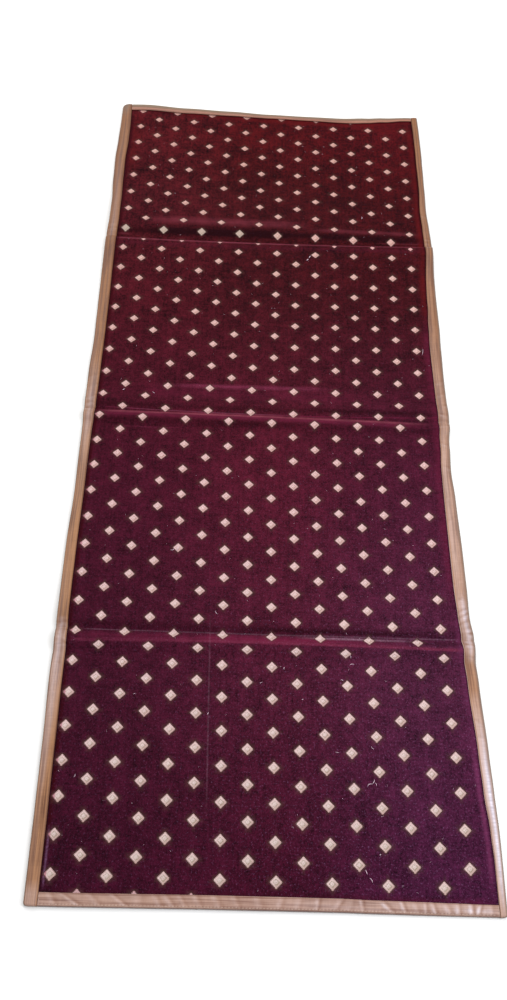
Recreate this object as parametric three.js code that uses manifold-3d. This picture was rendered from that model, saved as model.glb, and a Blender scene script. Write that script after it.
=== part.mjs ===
// Velvet floor mat with a satin binding, laid open after being kept folded in quarters.
// Units are millimetres. The mat lies on z = 0 with its length along Y and its width along X.
// One sheet of cloth carries four binding strips, each folded over one edge of the sheet.
import * as THREE from "three";
import { mergeVertices } from "three/addons/utils/BufferGeometryUtils.js";
import Module from "manifold-3d";

// Driving dimensions
const MAT_LENGTH = 1502;
const CLOTH_THICKNESS = 3.4;
const BORDER_THICKNESS = 2;
const TAPE_THICKNESS = 1;

// Clearance between neighbouring pieces in plan, and upright between layers, where the steep
// sides of the creases take up some of it
const GAP = 0.35;
const LAYER_GAP = 0.55;

// The cloth swells from its pressed border to its full thickness between these two distances
// from the strips' inner edges
const SWELL_START = 0.5;
const SWELL_END = 6;

// Drawn width of each binding strip's section and the height of its soft roll above the floor.
// The end strips are nowhere wider than this.
const TAPES = {
  left: { width: 17, crown: 6.1 },
  right: { width: 15, crown: 5.6 },
  near: { width: 16, crown: 5.15 },
  far: { width: 17, crown: 5.3 },
};

// Finished widths of the strips, which were turned over by hand and vary along their runs
const SIDE_STRIP_WIDTH = [
  { along: 0, left: 17, right: 10 },
  { along: 60, left: 17, right: 10.5 },
  { along: 100, left: 17, right: 12 },
  { along: 150, left: 17, right: 14 },
  { along: 200, left: 17, right: 14.5 },
  { along: 300, left: 18, right: 16 },
  { along: 345, left: 17, right: 16.5 },
  { along: 362, left: 16.5, right: 18.5 },
  { along: 400, left: 16, right: 17 },
  { along: 450, left: 16, right: 19.5 },
  { along: 500, left: 16, right: 19.5 },
  { along: 600, left: 14.5, right: 18 },
  { along: 650, left: 15, right: 15.5 },
  { along: 700, left: 15.5, right: 15 },
  { along: 750, left: 18, right: 17.5 },
  { along: 830, left: 19, right: 17.5 },
  { along: 900, left: 17.5, right: 19 },
  { along: 950, left: 18, right: 19 },
  { along: 1000, left: 18.5, right: 16.5 },
  { along: 1130, left: 18.5, right: 13.5 },
  { along: 1220, left: 17.5, right: 12.5 },
  { along: 1300, left: 19, right: 11 },
  { along: 1400, left: 20, right: 12 },
  { along: MAT_LENGTH, left: 18, right: 12.5 },
];
const END_STRIP_WIDTH = [
  { across: -294, near: 16, far: 17 },
  { across: -245, near: 16, far: 17 },
  { across: -163, near: 16, far: 15.5 },
  { across: -90, near: 16, far: 14 },
  { across: 18, near: 16, far: 12 },
  { across: 80, near: 15.8, far: 12.5 },
  { across: 137, near: 15.2, far: 14 },
  { across: 174, near: 15, far: 15.5 },
  { across: 225, near: 14.5, far: 13.5 },
  { across: 262, near: 14, far: 11 },
  { across: 294, near: 14, far: 11 },
];

// A section keeps its own shape up to this far in from the mat's edge and is stretched past it
const EDGE_KEPT = 1.45;

// Roundings of a strip's section: the lower outer edge, the upper outer edge, the top of the
// roll and the lip on the cloth. shares are of the strip's width.
const ROUNDING = {
  toe: 0.6,
  shoulder: { inset: 1.4, drop: 1.7 },
  top: { startShare: 0.35, endShare: 0.65, drop: 0.15 },
  lip: { inset: 0.8, drop: 0.3, rise: 0.1 },
};
const SLOT_OVERRUN = 1;

// Half widths of the mat on both sides of its centre line, at distances from the near edge
const SIDE_LINE = [
  { along: 0, left: 290.5, right: 291 },
  { along: 100, left: 291, right: 292.5 },
  { along: 150, left: 291.5, right: 291.5 },
  { along: 200, left: 292, right: 290.5 },
  { along: 300, left: 294, right: 288 },
  { along: 340, left: 293, right: 286.5 },
  { along: 362, left: 293, right: 288 },
  { along: 400, left: 293.5, right: 284.5 },
  { along: 450, left: 294, right: 286 },
  { along: 500, left: 294, right: 286 },
  { along: 600, left: 291.5, right: 284.5 },
  { along: 650, left: 292, right: 282.5 },
  { along: 700, left: 292, right: 284.5 },
  { along: 750, left: 292.5, right: 288 },
  { along: 830, left: 293, right: 287.5 },
  { along: 900, left: 291, right: 288.5 },
  { along: 950, left: 291.5, right: 290 },
  { along: 1000, left: 292, right: 290 },
  { along: 1060, left: 292.5, right: 290.5 },
  { along: 1130, left: 292.5, right: 293 },
  { along: 1180, left: 290, right: 291 },
  { along: 1230, left: 290, right: 289.5 },
  { along: 1300, left: 293, right: 291.5 },
  { along: 1350, left: 294, right: 292.5 },
  { along: 1400, left: 292.5, right: 293.5 },
  { along: 1455, left: 291.5, right: 293.5 },
  { along: MAT_LENGTH, left: 291.5, right: 293 },
];

// How far the near edge and the far edge stand out past their mean lines, across the mat
const END_LINE = [
  { across: -294, near: 0, far: 14 },
  { across: -245, near: 0.3, far: 16 },
  { across: -163, near: 0, far: 9.2 },
  { across: -80, near: -0.3, far: 5 },
  { across: 0, near: 0, far: 0 },
  { across: 80, near: 0.2, far: -2 },
  { across: 140, near: 1, far: -3 },
  { across: 190, near: 1.5, far: 0.5 },
  { across: 225, near: 1.8, far: 3.5 },
  { across: 277, near: 2.1, far: 7.5 },
  { across: 294, near: 2.2, far: 9 },
];
const NEAR_END_REACH = 120;
const FAR_END_REACH = 260;

// Plan radius of each corner of the mat
const CORNER_RADIUS = { left: { near: 4, far: 11 }, right: { near: 4, far: 3 } };

// Cross creases. Each is a sharp valley at the distance along, with a ridge on its near side
// and one on its far side. fall and rise are the lengths of the slopes, and the other columns
// give the valley's shift and the ridge heights at the left edge, the middle and the right edge.
const CREASES = [
  {
    along: 364, nearRise: 18, nearFall: 19, farRise: 12, farFall: 90,
    shift: { left: 3, middle: 0, right: -1 },
    nearRidge: { left: 6, middle: 6, right: 6.5 },
    farRidge: { left: 3.5, middle: 6, right: 3.5 },
  },
  {
    along: 747, nearRise: 16, nearFall: 13, farRise: 16, farFall: 32,
    shift: { left: 4.5, middle: 0, right: -2.5 },
    nearRidge: { left: 5.5, middle: 6, right: 4.5 },
    farRidge: { left: 3, middle: 3, right: 3.5 },
  },
  {
    along: 1139, nearRise: 110, nearFall: 9, farRise: 31, farFall: 150,
    shift: { left: 3.5, middle: 0, right: 4.5 },
    nearRidge: { left: 3.5, middle: 4.5, right: 6 },
    farRidge: { left: 5.5, middle: 6.5, right: 3.5 },
  },
];
const SHIFT_REACH = 130;
const HALF_WIDTH = 290;

// Spacing of the sections: lines across the field and under each side strip, limits of a step
// along the mat, and shares of a corner's radius, a slope and a run at which sections lie
const FIELD_COLUMNS = 24;
const BORDER_LINES = 2;
const LONGEST_STEP = 26;
const SHORTEST_STEP = 0.25;
const CORNER_SHARES = [0, 0.12, 0.45, 1];
const SLOPE_SHARES = [0.35, 0.7, 1];
const RUN_SHARES = [0.25, 0.5, 0.75, 1];
const WELD_DISTANCE = 1e-5;

const COLOURS = { velvet: 0x4a1424, satin: 0xb0866a };

const wasm = await Module();
wasm.setup();

const { clamp, lerp, smoothstep } = THREE.MathUtils;

// Value of one column of a table at a distance, on straight stretches eased at the rows
function fromTable(table, key, column, distance) {
  const last = table.length - 1;
  if (distance <= table[0][key]) {
    return table[0][column];
  }
  if (distance >= table[last][key]) {
    return table[last][column];
  }
  const next = table.findIndex((row) => row[key] > distance);
  const before = table[next - 1];
  const after = table[next];
  const share = (distance - before[key]) / (after[key] - before[key]);
  return lerp(before[column], after[column], smoothstep(share, 0, 1));
}

// Parabola through the values at the left edge, the middle and the right edge
function acrossMat(values, across) {
  const side = clamp(across / HALF_WIDTH, -1, 1);
  const tilt = (values.right - values.left) / 2;
  const bend = (values.right + values.left) / 2 - values.middle;
  return values.middle + tilt * side + bend * side * side;
}

// One ridge: a quarter wave out of the valley, then an eased run back to the floor
function ridge(distance, slope, run) {
  if (distance <= 0 || distance >= slope + run) {
    return 0;
  }
  if (distance < slope) {
    return Math.sin((Math.PI / 2) * (distance / slope));
  }
  return (1 + Math.cos(Math.PI * ((distance - slope) / run))) / 2;
}

// Height of the cloth's underside above the floor
function lift(across, along) {
  let height = 0;
  for (const crease of CREASES) {
    const past = along - crease.along;
    height += acrossMat(crease.nearRidge, across) * ridge(-past, crease.nearFall, crease.nearRise);
    height += acrossMat(crease.farRidge, across) * ridge(past, crease.farRise, crease.farFall);
  }
  return height;
}

// Place on the floor of a point of the cloth, after the creases wander and the ends bulge
function reach(across, along) {
  let y = along;
  for (const crease of CREASES) {
    const nearness = 1 - smoothstep(Math.abs(along - crease.along), 0, SHIFT_REACH);
    y += acrossMat(crease.shift, across) * nearness;
  }
  const nearShare = 1 - smoothstep(along, 0, NEAR_END_REACH);
  const farShare = smoothstep(along, MAT_LENGTH - FAR_END_REACH, MAT_LENGTH);
  y -= fromTable(END_LINE, "across", "near", across) * nearShare;
  y += fromTable(END_LINE, "across", "far", across) * farShare;
  return y;
}

// A point given across and along the lying cloth, and up from the cloth's underside
function place(across, along, up) {
  return new THREE.Vector3(across, reach(across, along), up + lift(across, along));
}

// Finished width of a strip at a distance along the mat for a side, or across it for an end
function stripWidth(name, distance) {
  if (name === "left" || name === "right") {
    return fromTable(SIDE_STRIP_WIDTH, "along", name, distance);
  }
  return fromTable(END_STRIP_WIDTH, "across", name, distance);
}

// Inset of a point of a drawn section after the strip is stretched to its finished width
function widen(name, inset, distance) {
  if (inset <= EDGE_KEPT) {
    return inset;
  }
  const stretch = (stripWidth(name, distance) - EDGE_KEPT) / (TAPES[name].width - EDGE_KEPT);
  return EDGE_KEPT + (inset - EDGE_KEPT) * stretch;
}

// How far a rounded corner draws the outline in, at a distance from the end of the mat
function cornerCut(distance, radius) {
  if (distance >= radius || radius <= 0) {
    return 0;
  }
  const leg = radius - Math.max(distance, 0);
  return radius - Math.sqrt(radius * radius - leg * leg);
}

// X of the line that runs inside one side of the outline at a distance from it. start is where
// the piece begins, measured in from the mat's ends, so that inner lines round their corners too.
function sideLine(side, along, inset, start) {
  const radius = CORNER_RADIUS[side];
  const nearCut = cornerCut(along - start, radius.near - start);
  const farCut = cornerCut(MAT_LENGTH - start - along, radius.far - start);
  const fade = clamp(1 - (inset - start) / (stripWidth(side, along) - start), 0, 1);
  const half = fromTable(SIDE_LINE, "along", side, along) - inset - (nearCut + farCut) * fade;
  return side === "left" ? -half : half;
}

// Distances along the mat at which every long piece has a section
function stations(start) {
  const list = [];
  const { left, right } = CORNER_RADIUS;
  const ends = [
    { radii: [left.near, right.near], width: TAPES.near.width, from: (inset) => inset },
    { radii: [left.far, right.far], width: TAPES.far.width, from: (inset) => MAT_LENGTH - inset },
  ];
  for (const { radii, width, from } of ends) {
    for (const share of CORNER_SHARES) {
      list.push(...radii.map((radius) => from(lerp(start, radius, share))));
    }
    list.push(from(width + SWELL_START), from(width + SWELL_END));
  }
  for (const crease of CREASES) {
    for (const share of SLOPE_SHARES) {
      list.push(crease.along - crease.nearFall * share);
      list.push(crease.along + crease.farRise * share);
    }
    for (const share of RUN_SHARES) {
      list.push(crease.along - crease.nearFall - crease.nearRise * share);
      list.push(crease.along + crease.farRise + crease.farFall * share);
    }
    list.push(crease.along);
  }
  return fillGaps(list, LONGEST_STEP, SHORTEST_STEP);
}

// Sorts distances, drops near doubles and splits steps that are too long
function fillGaps(list, longest, shortest) {
  const sorted = [...list].sort((a, b) => a - b);
  const kept = [sorted[0]];
  for (const value of sorted.slice(1)) {
    const last = kept[kept.length - 1];
    if (value - last < shortest) {
      continue;
    }
    const parts = Math.ceil((value - last) / longest);
    for (let part = 1; part <= parts; part += 1) {
      kept.push(lerp(last, value, part / parts));
    }
  }
  return kept;
}

// Closed mesh through equal rings of points, with both ends capped
function loft(rings, section) {
  const count = section.length;
  const positions = rings.flat().flatMap((point) => point.toArray());
  const index = [];
  for (let row = 0; row < rings.length - 1; row += 1) {
    for (let i = 0; i < count; i += 1) {
      const a = row * count + i;
      const b = row * count + ((i + 1) % count);
      index.push(a, b, b + count, a, b + count, a + count);
    }
  }
  const top = (rings.length - 1) * count;
  for (const [a, b, c] of THREE.ShapeUtils.triangulateShape(section, [])) {
    index.push(a, c, b, top + a, top + b, top + c);
  }
  return closedGeometry(positions, index);
}

// Indexed geometry whose faces point out, turned over where they were wound the other way
function closedGeometry(positions, index) {
  let volume = 0;
  const corner = (i) => new THREE.Vector3().fromArray(positions, 3 * index[i]);
  for (let i = 0; i < index.length; i += 3) {
    volume += corner(i).dot(corner(i + 1).cross(corner(i + 2)));
  }
  const wound = volume > 0 ? index : index.reverse();
  const geometry = new THREE.BufferGeometry();
  geometry.setAttribute("position", new THREE.Float32BufferAttribute(positions, 3));
  geometry.setIndex(wound);
  return geometry;
}

function toSolid(geometry) {
  const merged = mergeVertices(geometry, WELD_DISTANCE);
  const vertProperties = new Float32Array(merged.attributes.position.array);
  const triVerts = new Uint32Array(merged.index.array);
  return new wasm.Manifold(new wasm.Mesh({ numProp: 3, vertProperties, triVerts }));
}

function toGeometry(solid) {
  const mesh = solid.getMesh();
  return closedGeometry(Array.from(mesh.vertProperties), Array.from(mesh.triVerts));
}

// Outer outline of a binding strip, as distance in from the mat's edge and height
function tapeSection({ width, crown }) {
  const { toe, shoulder, top, lip } = ROUNDING;
  const legTop = slotRoof() + TAPE_THICKNESS;
  const section = [
    [toe, 0],
    [width, 0],
    [width, legTop - lip.drop],
    [width - lip.inset, legTop + lip.rise],
    [top.endShare * width, crown - top.drop],
    [top.startShare * width, crown],
    [shoulder.inset, legTop],
    [0, legTop - shoulder.drop],
    [0, toe],
  ];
  return section.map(([inset, up]) => new THREE.Vector2(inset, up));
}

function slotRoof() {
  return TAPE_THICKNESS + LAYER_GAP + BORDER_THICKNESS + LAYER_GAP;
}

// The slot in a strip that holds the cloth's border, open on the strip's inner side
function slotSection({ width }) {
  const beyond = width + SLOT_OVERRUN;
  return [
    new THREE.Vector2(TAPE_THICKNESS, TAPE_THICKNESS),
    new THREE.Vector2(beyond, TAPE_THICKNESS),
    new THREE.Vector2(beyond, slotRoof()),
    new THREE.Vector2(TAPE_THICKNESS, slotRoof()),
  ];
}

// Side strips run the whole length and are closed round the corners of the cloth
function sideTape(side) {
  const tape = TAPES[side];
  const corner = (along, inset, up, start) =>
    place(sideLine(side, along, widen(side, inset, along), start), along, up);
  const bar = (start, section) =>
    loft(
      stations(start).map((along) => section.map(({ x, y }) => corner(along, x, y, start))),
      section,
    );
  const outside = toSolid(bar(0, tapeSection(tape)));
  const slot = toSolid(bar(TAPE_THICKNESS, slotSection(tape)));
  return toGeometry(outside.subtract(slot));
}

// X of the lines that run the length of the mat's field, counted from the left
function fieldLine(column, along, start) {
  const left = sideLine("left", along, stripWidth("left", along) + SWELL_END, start);
  const right = sideLine("right", along, stripWidth("right", along) + SWELL_END, start);
  return lerp(left, right, column / FIELD_COLUMNS);
}

// End strips lie between the side strips. clearance is measured from the side strips' edges.
function endBar(end, section, clearance) {
  const besideStrip = (side) => (along) =>
    sideLine(side, along, stripWidth(side, along) + clearance, 0);
  const lines = [besideStrip("left")];
  for (let column = 0; column <= FIELD_COLUMNS; column += 1) {
    lines.push((along) => fieldLine(column, along, 0));
  }
  lines.push(besideStrip("right"));
  const fromEnd = (inset) => (end === "near" ? inset : MAT_LENGTH - inset);
  const rings = lines.map((lineX) =>
    section.map(({ x, y }) => {
      const along = fromEnd(widen(end, x, lineX(fromEnd(x))));
      return place(lineX(along), along, y);
    }),
  );
  return toSolid(loft(rings, section));
}

function endTape(end) {
  const outside = endBar(end, tapeSection(TAPES[end]), GAP);
  const slot = endBar(end, slotSection(TAPES[end]), GAP - SLOT_OVERRUN);
  return toGeometry(outside.subtract(slot));
}

// X of one of the sheet's lines: those under each side strip, and the field's own lines between
function sheetLine(column, along, start) {
  const last = FIELD_COLUMNS + 2 * BORDER_LINES;
  const fromSide = Math.min(column, last - column);
  if (fromSide >= BORDER_LINES) {
    return fieldLine(column - BORDER_LINES, along, start);
  }
  const side = column < BORDER_LINES ? "left" : "right";
  const inset = fromSide === 0 ? start : stripWidth(side, along) + SWELL_START;
  return sideLine(side, along, inset, start);
}

// The cloth is thinner and raised along its border, where the strips fold round it, and it
// swells to its full thickness just inside them.
function clothSheet() {
  const start = TAPE_THICKNESS + GAP;
  const rows = stations(start);
  const columns = FIELD_COLUMNS + 2 * BORDER_LINES + 1;
  const swell = (column, along) => {
    const nearInset = along - TAPES.near.width;
    const farInset = MAT_LENGTH - along - TAPES.far.width;
    const inset = Math.min(nearInset, farInset) - SWELL_START;
    const fromSide = Math.min(column, columns - 1 - column);
    return fromSide < BORDER_LINES ? 0 : clamp(inset / (SWELL_END - SWELL_START), 0, 1);
  };
  const underside = TAPE_THICKNESS + LAYER_GAP;
  const levels = [
    { border: underside, field: 0 },
    { border: underside + BORDER_THICKNESS, field: CLOTH_THICKNESS },
  ];
  const positions = [];
  for (const { border, field } of levels) {
    for (const along of rows) {
      for (let column = 0; column < columns; column += 1) {
        const up = lerp(border, field, swell(column, along));
        positions.push(...place(sheetLine(column, along, start), along, up).toArray());
      }
    }
  }
  return closedGeometry(positions, sheetFaces(columns, rows.length));
}

// Faces of a closed sheet: the lower grid, the upper grid and the four edges between them
function sheetFaces(columns, rows) {
  const index = [];
  const under = (column, row) => row * columns + column;
  const upper = (column, row) => columns * rows + under(column, row);
  const quad = (a, b, c, d) => index.push(a, b, c, a, c, d);
  for (let row = 0; row < rows - 1; row += 1) {
    for (let column = 0; column < columns - 1; column += 1) {
      quad(upper(column, row), upper(column + 1, row), upper(column + 1, row + 1), upper(column, row + 1));
      quad(under(column, row), under(column, row + 1), under(column + 1, row + 1), under(column + 1, row));
    }
    const end = columns - 1;
    quad(under(end, row), under(end, row + 1), upper(end, row + 1), upper(end, row));
    quad(under(0, row + 1), under(0, row), upper(0, row), upper(0, row + 1));
  }
  for (let column = 0; column < columns - 1; column += 1) {
    const end = rows - 1;
    quad(under(column, 0), under(column + 1, 0), upper(column + 1, 0), upper(column, 0));
    quad(under(column + 1, end), under(column, end), upper(column, end), upper(column + 1, end));
  }
  return index;
}

function velvet() {
  return new THREE.MeshStandardMaterial({ color: COLOURS.velvet, roughness: 0.95, metalness: 0 });
}

function satin() {
  return new THREE.MeshStandardMaterial({ color: COLOURS.satin, roughness: 0.38, metalness: 0 });
}

function named(name, geometry, material) {
  const mesh = new THREE.Mesh(geometry, material);
  mesh.name = name;
  return mesh;
}

const mat = new THREE.Group();
mat.add(named("velvet_panel", clothSheet(), velvet()));
mat.add(named("binding_left", sideTape("left"), satin()));
mat.add(named("binding_right", sideTape("right"), satin()));
mat.add(named("binding_near", endTape("near"), satin()));
mat.add(named("binding_far", endTape("far"), satin()));

// The origin is under the middle of the whole mat
const extent = new THREE.Box3().setFromObject(mat);
const middle = extent.getCenter(new THREE.Vector3());
mat.position.set(-middle.x, -middle.y, -extent.min.z);

export default mat;
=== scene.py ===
# Velvet floor mat with a satin binding, laid open after being kept folded in quarters.
# Sizes are in millimetres in the mat's own plan, across from its centre line and along from
# its near edge, and every mesh is written in metres in the frame's place.
import math

import bpy
import numpy as np
from mathutils import Matrix, Vector
from mathutils.bvhtree import BVHTree
from mathutils.geometry import delaunay_2d_cdt


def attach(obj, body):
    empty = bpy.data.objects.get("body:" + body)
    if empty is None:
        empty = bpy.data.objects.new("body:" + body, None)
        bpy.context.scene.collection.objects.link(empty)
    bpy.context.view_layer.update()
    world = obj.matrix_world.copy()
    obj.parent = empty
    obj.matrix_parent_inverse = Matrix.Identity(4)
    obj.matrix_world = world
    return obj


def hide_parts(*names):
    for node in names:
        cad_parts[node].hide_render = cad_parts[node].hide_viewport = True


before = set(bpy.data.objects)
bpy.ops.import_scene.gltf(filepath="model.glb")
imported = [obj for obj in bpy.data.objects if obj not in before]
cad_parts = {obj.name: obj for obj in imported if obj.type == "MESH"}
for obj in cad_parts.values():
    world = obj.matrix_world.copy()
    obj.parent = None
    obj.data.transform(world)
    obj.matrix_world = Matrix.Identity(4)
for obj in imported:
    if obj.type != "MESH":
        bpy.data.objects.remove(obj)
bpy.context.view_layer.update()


def table(header, *rows):
    """Rows as dictionaries, keyed by the names in the header."""
    return [dict(zip(header.split(), row)) for row in rows]


MM = 0.001
SIDES = ("left", "right")

# Cloth
MAT_LENGTH = 1502.0
HALF_WIDTH = 290.0
PILE_TOP = 3.4
BORDER_UNDERSIDE = 1.55
BORDER_TOP = 3.55
LAYER_GAP = 0.55
TAPE_THICKNESS = 1.0
SHEET_INSET = 1.35
SWELL_START = 0.5
SWELL_END = 6.0

# Strips: their drawn width, their crown and the step between sections, and for their looks the
# fine ripple, the shine on folds, the place of a dark line, a grey outer edge and the satin
STRIPS = {row["name"]: row for row in table(
    "name width crown step ripple fold_shine dark_line grey_end grey_soft satin",
    ("left", 17.0, 6.1, 3.2, 0.1, 0.45, 0.27, 0.1, 0.1, "copper"),
    ("right", 15.0, 5.6, 3.2, 0.14, 0.5, 0.2, 0.3, 0.26, "copper"),
    ("near", 16.0, 5.15, 1.05, 0.16, 0.85, 0.93, 0.07, 0.07, "rose"),
    ("far", 17.0, 5.3, 3.2, 0.1, 0.3, 0.5, 0.72, 0.4, "umber"),
)}

# Finished widths of the strips, which were turned over by hand and vary along their runs
SIDE_STRIP_WIDTH = {
    "along": (0, 60, 100, 150, 200, 300, 345, 362, 400, 450, 500, 600, 650, 700, 750, 830, 900, 950,
              1000, 1130, 1220, 1300, 1400, MAT_LENGTH),
    "left": (17, 17, 17, 17, 17, 18, 17, 16.5, 16, 16, 16, 14.5, 15, 15.5, 18, 19, 17.5, 18,
             18.5, 18.5, 17.5, 19, 20, 18),
    "right": (10, 10.5, 12, 14, 14.5, 16, 16.5, 18.5, 17, 19.5, 19.5, 18, 15.5, 15, 17.5, 17.5, 19, 19,
              16.5, 13.5, 12.5, 11, 12, 12.5),
}
END_STRIP_WIDTH = {
    "across": (-294, -245, -163, -90, 18, 80, 137, 174, 225, 262, 294),
    "near": (16, 16, 16, 16, 16, 15.8, 15.2, 15, 14.5, 14, 14),
    "far": (17, 17, 15.5, 14, 12, 12.5, 14, 15.5, 13.5, 11, 11),
}

# A section keeps its own shape up to this far in from the mat's edge and is stretched past it
EDGE_KEPT = 1.45
SEAM_GAP = 0.35

# Half widths of the mat on both sides of its centre line
SIDE_LINE = {
    "along": (0, 100, 150, 200, 300, 340, 362, 400, 450, 500, 600, 650, 700, 750, 830, 900, 950, 1000,
              1060, 1130, 1180, 1230, 1300, 1350, 1400, 1455, MAT_LENGTH),
    "left": (290.5, 291, 291.5, 292, 294, 293, 293, 293.5, 294, 294, 291.5, 292, 292, 292.5, 293, 291,
             291.5, 292, 292.5, 292.5, 290, 290, 293, 294, 292.5, 291.5, 291.5),
    "right": (291, 292.5, 291.5, 290.5, 288, 286.5, 288, 284.5, 286, 286, 284.5, 282.5, 284.5, 288,
              287.5, 288.5, 290, 290, 290.5, 293, 291, 289.5, 291.5, 292.5, 293.5, 293.5, 293),
}

# How far the near edge and the far edge stand out past their mean lines
END_LINE = {
    "across": (-294, -245, -163, -80, 0, 80, 140, 190, 225, 277, 294),
    "near": (0, 0.3, 0, -0.3, 0, 0.2, 1, 1.5, 1.8, 2.1, 2.2),
    "far": (14, 16, 9.2, 5, 0, -2, -3, 0.5, 3.5, 7.5, 9),
}
NEAR_END_REACH = 120.0
FAR_END_REACH = 260.0
CORNER_RADIUS = {"left": {"near": 4.0, "far": 11.0}, "right": {"near": 4.0, "far": 3.0}}

# Cross creases: a sharp valley with a ridge on each side of it. Triples are the values at the
# left edge, the middle and the right edge.
CREASES = table(
    "along near_rise near_fall far_rise far_fall shift near_ridge far_ridge",
    (364.0, 18.0, 19.0, 12.0, 90.0, (3, 0, -1), (6, 6, 6.5), (3.5, 6, 3.5)),
    (747.0, 16.0, 13.0, 16.0, 32.0, (4.5, 0, -2.5), (5.5, 6, 4.5), (3, 3, 3.5)),
    (1139.0, 110.0, 9.0, 31.0, 150.0, (3.5, 0, 4.5), (3.5, 4.5, 6), (5.5, 6.5, 3.5)),
)
SHIFT_REACH = 130.0

# The woven diamonds: a staggered lattice, a half pitch apart across and a row apart along.
# LATTICE_DRIFT holds how the cloth is pulled out of true at a few rows: the rows' drift along,
# their slant, their bow at the edges, the lattice's middle and its stretch across, and the
# diamonds' shares of their full size across and along.
HALF_PITCH = 34.0
ROW_PITCH = 23.7
FIRST_ROW = 34.0
COLUMNS = 16
FIRST_ROW_NUMBER = -1
LAST_ROW_NUMBER = 62
LATTICE_DRIFT = {
    "row": (-2, 4, 10, 14, 22, 30, 38, 47, 48, 49, 50, 54, 63),
    "drift": (-0.5, 0, -0.8, -2.9, -5.9, -8.7, -8.7, -5.9, -6.9, -6.2, -5.3, -1.8, -1.9),
    "slant": (-0.014, -0.015, -0.015, -0.013, -0.012, -0.012, -0.011, -0.01, -0.02, -0.033,
              -0.031, -0.024, -0.013),
    "bow": (0, 0, -1.4, -1.3, 1.7, 2.6, 3.5, -1.4, -1.2, -1, -0.8, 0, 4.3),
    "middle": (-5, -7.5, -10.5, -12, -13, -12.5, -7.5, -3.5, -2.9, -2.4, -1.8, 0.5, 6),
    "stretch": (1.01, 1.004, 1, 0.995, 0.9965, 0.997, 1, 1.003, 1.0034, 1.0039, 1.0043, 1.006, 1.006),
    "wide": (1.09, 1.09, 1.08, 1.06, 1.03, 1, 1, 1, 1, 1, 1, 1, 0.99),
    "tall": (1.1, 1.1, 1.08, 1.05, 1.01, 0.97, 0.94, 0.93, 0.93, 0.93, 0.93, 0.92, 0.9),
}
DIAMOND_HALF = 7.9
DIAMOND_CELLS = 6
# The strips hide the tips of the first and the last row past these places across the mat
NEAR_TIPS_END = -60.0
FAR_TIPS_END = 190.0
# Rows whose diamonds the folds squeeze or draw out, as shares across and along
SQUEEZED_ROWS = {13: (1, 0.8), 31: (1, 0.84), 47: (0.62, 0.7), 48: (1.06, 1.2), 49: (0.98, 0.86)}
RECESS_DEPTH = 0.9
WEAVE_HEIGHT = 0.45
WEAVE_SINK = 0.03


# Plan and relief of the lying cloth
def ease(share):
    share = np.clip(share, 0.0, 1.0)
    return share * share * (3 - 2 * share)


def bell(distance, width):
    return np.exp(-(distance / width) ** 2)


def eased_table(rows, key, column, distance):
    """Value of a column at a distance, on straight stretches eased at the rows."""
    keys, values = np.asarray(rows[key], float), np.asarray(rows[column], float)
    distance = np.clip(distance, keys[0], keys[-1])
    i = np.clip(np.searchsorted(keys, distance, side="right") - 1, 0, len(keys) - 2)
    share = (distance - keys[i]) / (keys[i + 1] - keys[i])
    return values[i] + (values[i + 1] - values[i]) * ease(share)


def columns_at(rows, key, names, place):
    """Values of the named columns at a place, straight between the rows."""
    return [np.interp(place, rows[key], rows[name]) for name in names.split()]


def across_mat(triple, across):
    """Parabola through the values at the left edge, the middle and the right edge."""
    left, middle, right = triple
    side = np.clip(np.asarray(across) / HALF_WIDTH, -1, 1)
    return middle + (right - left) / 2 * side + ((right + left) / 2 - middle) * side * side


def ridge(distance, slope, run):
    """A quarter wave out of the valley, then an eased run back to the floor."""
    up = np.sin(np.pi / 2 * np.clip(distance / slope, 0, 1))
    down = (1 + np.cos(np.pi * np.clip((distance - slope) / run, 0, 1))) / 2
    return np.where(distance < slope, up, down)


def lift(across, along):
    """Height of the cloth's underside above the floor."""
    height = 0.0
    for crease in CREASES:
        past = along - crease["along"]
        near, far = (across_mat(crease[key], across) for key in ("near_ridge", "far_ridge"))
        height = height + near * ridge(-past, crease["near_fall"], crease["near_rise"])
        height = height + far * ridge(past, crease["far_rise"], crease["far_fall"])
    return height


def reach(across, along):
    """Place on the floor, after the creases wander and the ends bulge."""
    y = along + 0.0 * across
    for crease in CREASES:
        nearness = 1 - ease(np.abs(along - crease["along"]) / SHIFT_REACH)
        y = y + across_mat(crease["shift"], across) * nearness
    y = y - eased_table(END_LINE, "across", "near", across) * (1 - ease(along / NEAR_END_REACH))
    far_share = ease((along - MAT_LENGTH + FAR_END_REACH) / FAR_END_REACH)
    return y + eased_table(END_LINE, "across", "far", across) * far_share


def strip_width(name, distance):
    """Finished width of a strip at a distance along the mat for a side, across it for an end."""
    if name in SIDES:
        return eased_table(SIDE_STRIP_WIDTH, "along", name, distance)
    return eased_table(END_STRIP_WIDTH, "across", name, distance)


def widen(name, inset, distance):
    """Inset of a point of a drawn section after the strip is stretched to its finished width."""
    stretch = (strip_width(name, distance) - EDGE_KEPT) / (STRIPS[name]["width"] - EDGE_KEPT)
    return np.where(inset <= EDGE_KEPT, inset, EDGE_KEPT + (inset - EDGE_KEPT) * stretch)


def corner_cut(distance, radius):
    if radius <= 0:
        return np.zeros_like(distance)
    leg = radius - np.clip(distance, 0, radius)
    return radius - np.sqrt(np.maximum(radius * radius - leg * leg, 0))


def side_line(side, along, inset, start):
    """Across value of the line inside one side of the outline at a distance from it."""
    along = np.asarray(along, float)
    radius = CORNER_RADIUS[side]
    cuts = corner_cut(along - start, radius["near"] - start)
    cuts = cuts + corner_cut(MAT_LENGTH - start - along, radius["far"] - start)
    fade = np.clip(1 - (inset - start) / (strip_width(side, along) - start), 0, 1)
    half = eased_table(SIDE_LINE, "along", side, along) - inset - cuts * fade
    return -half if side == "left" else half


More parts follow.
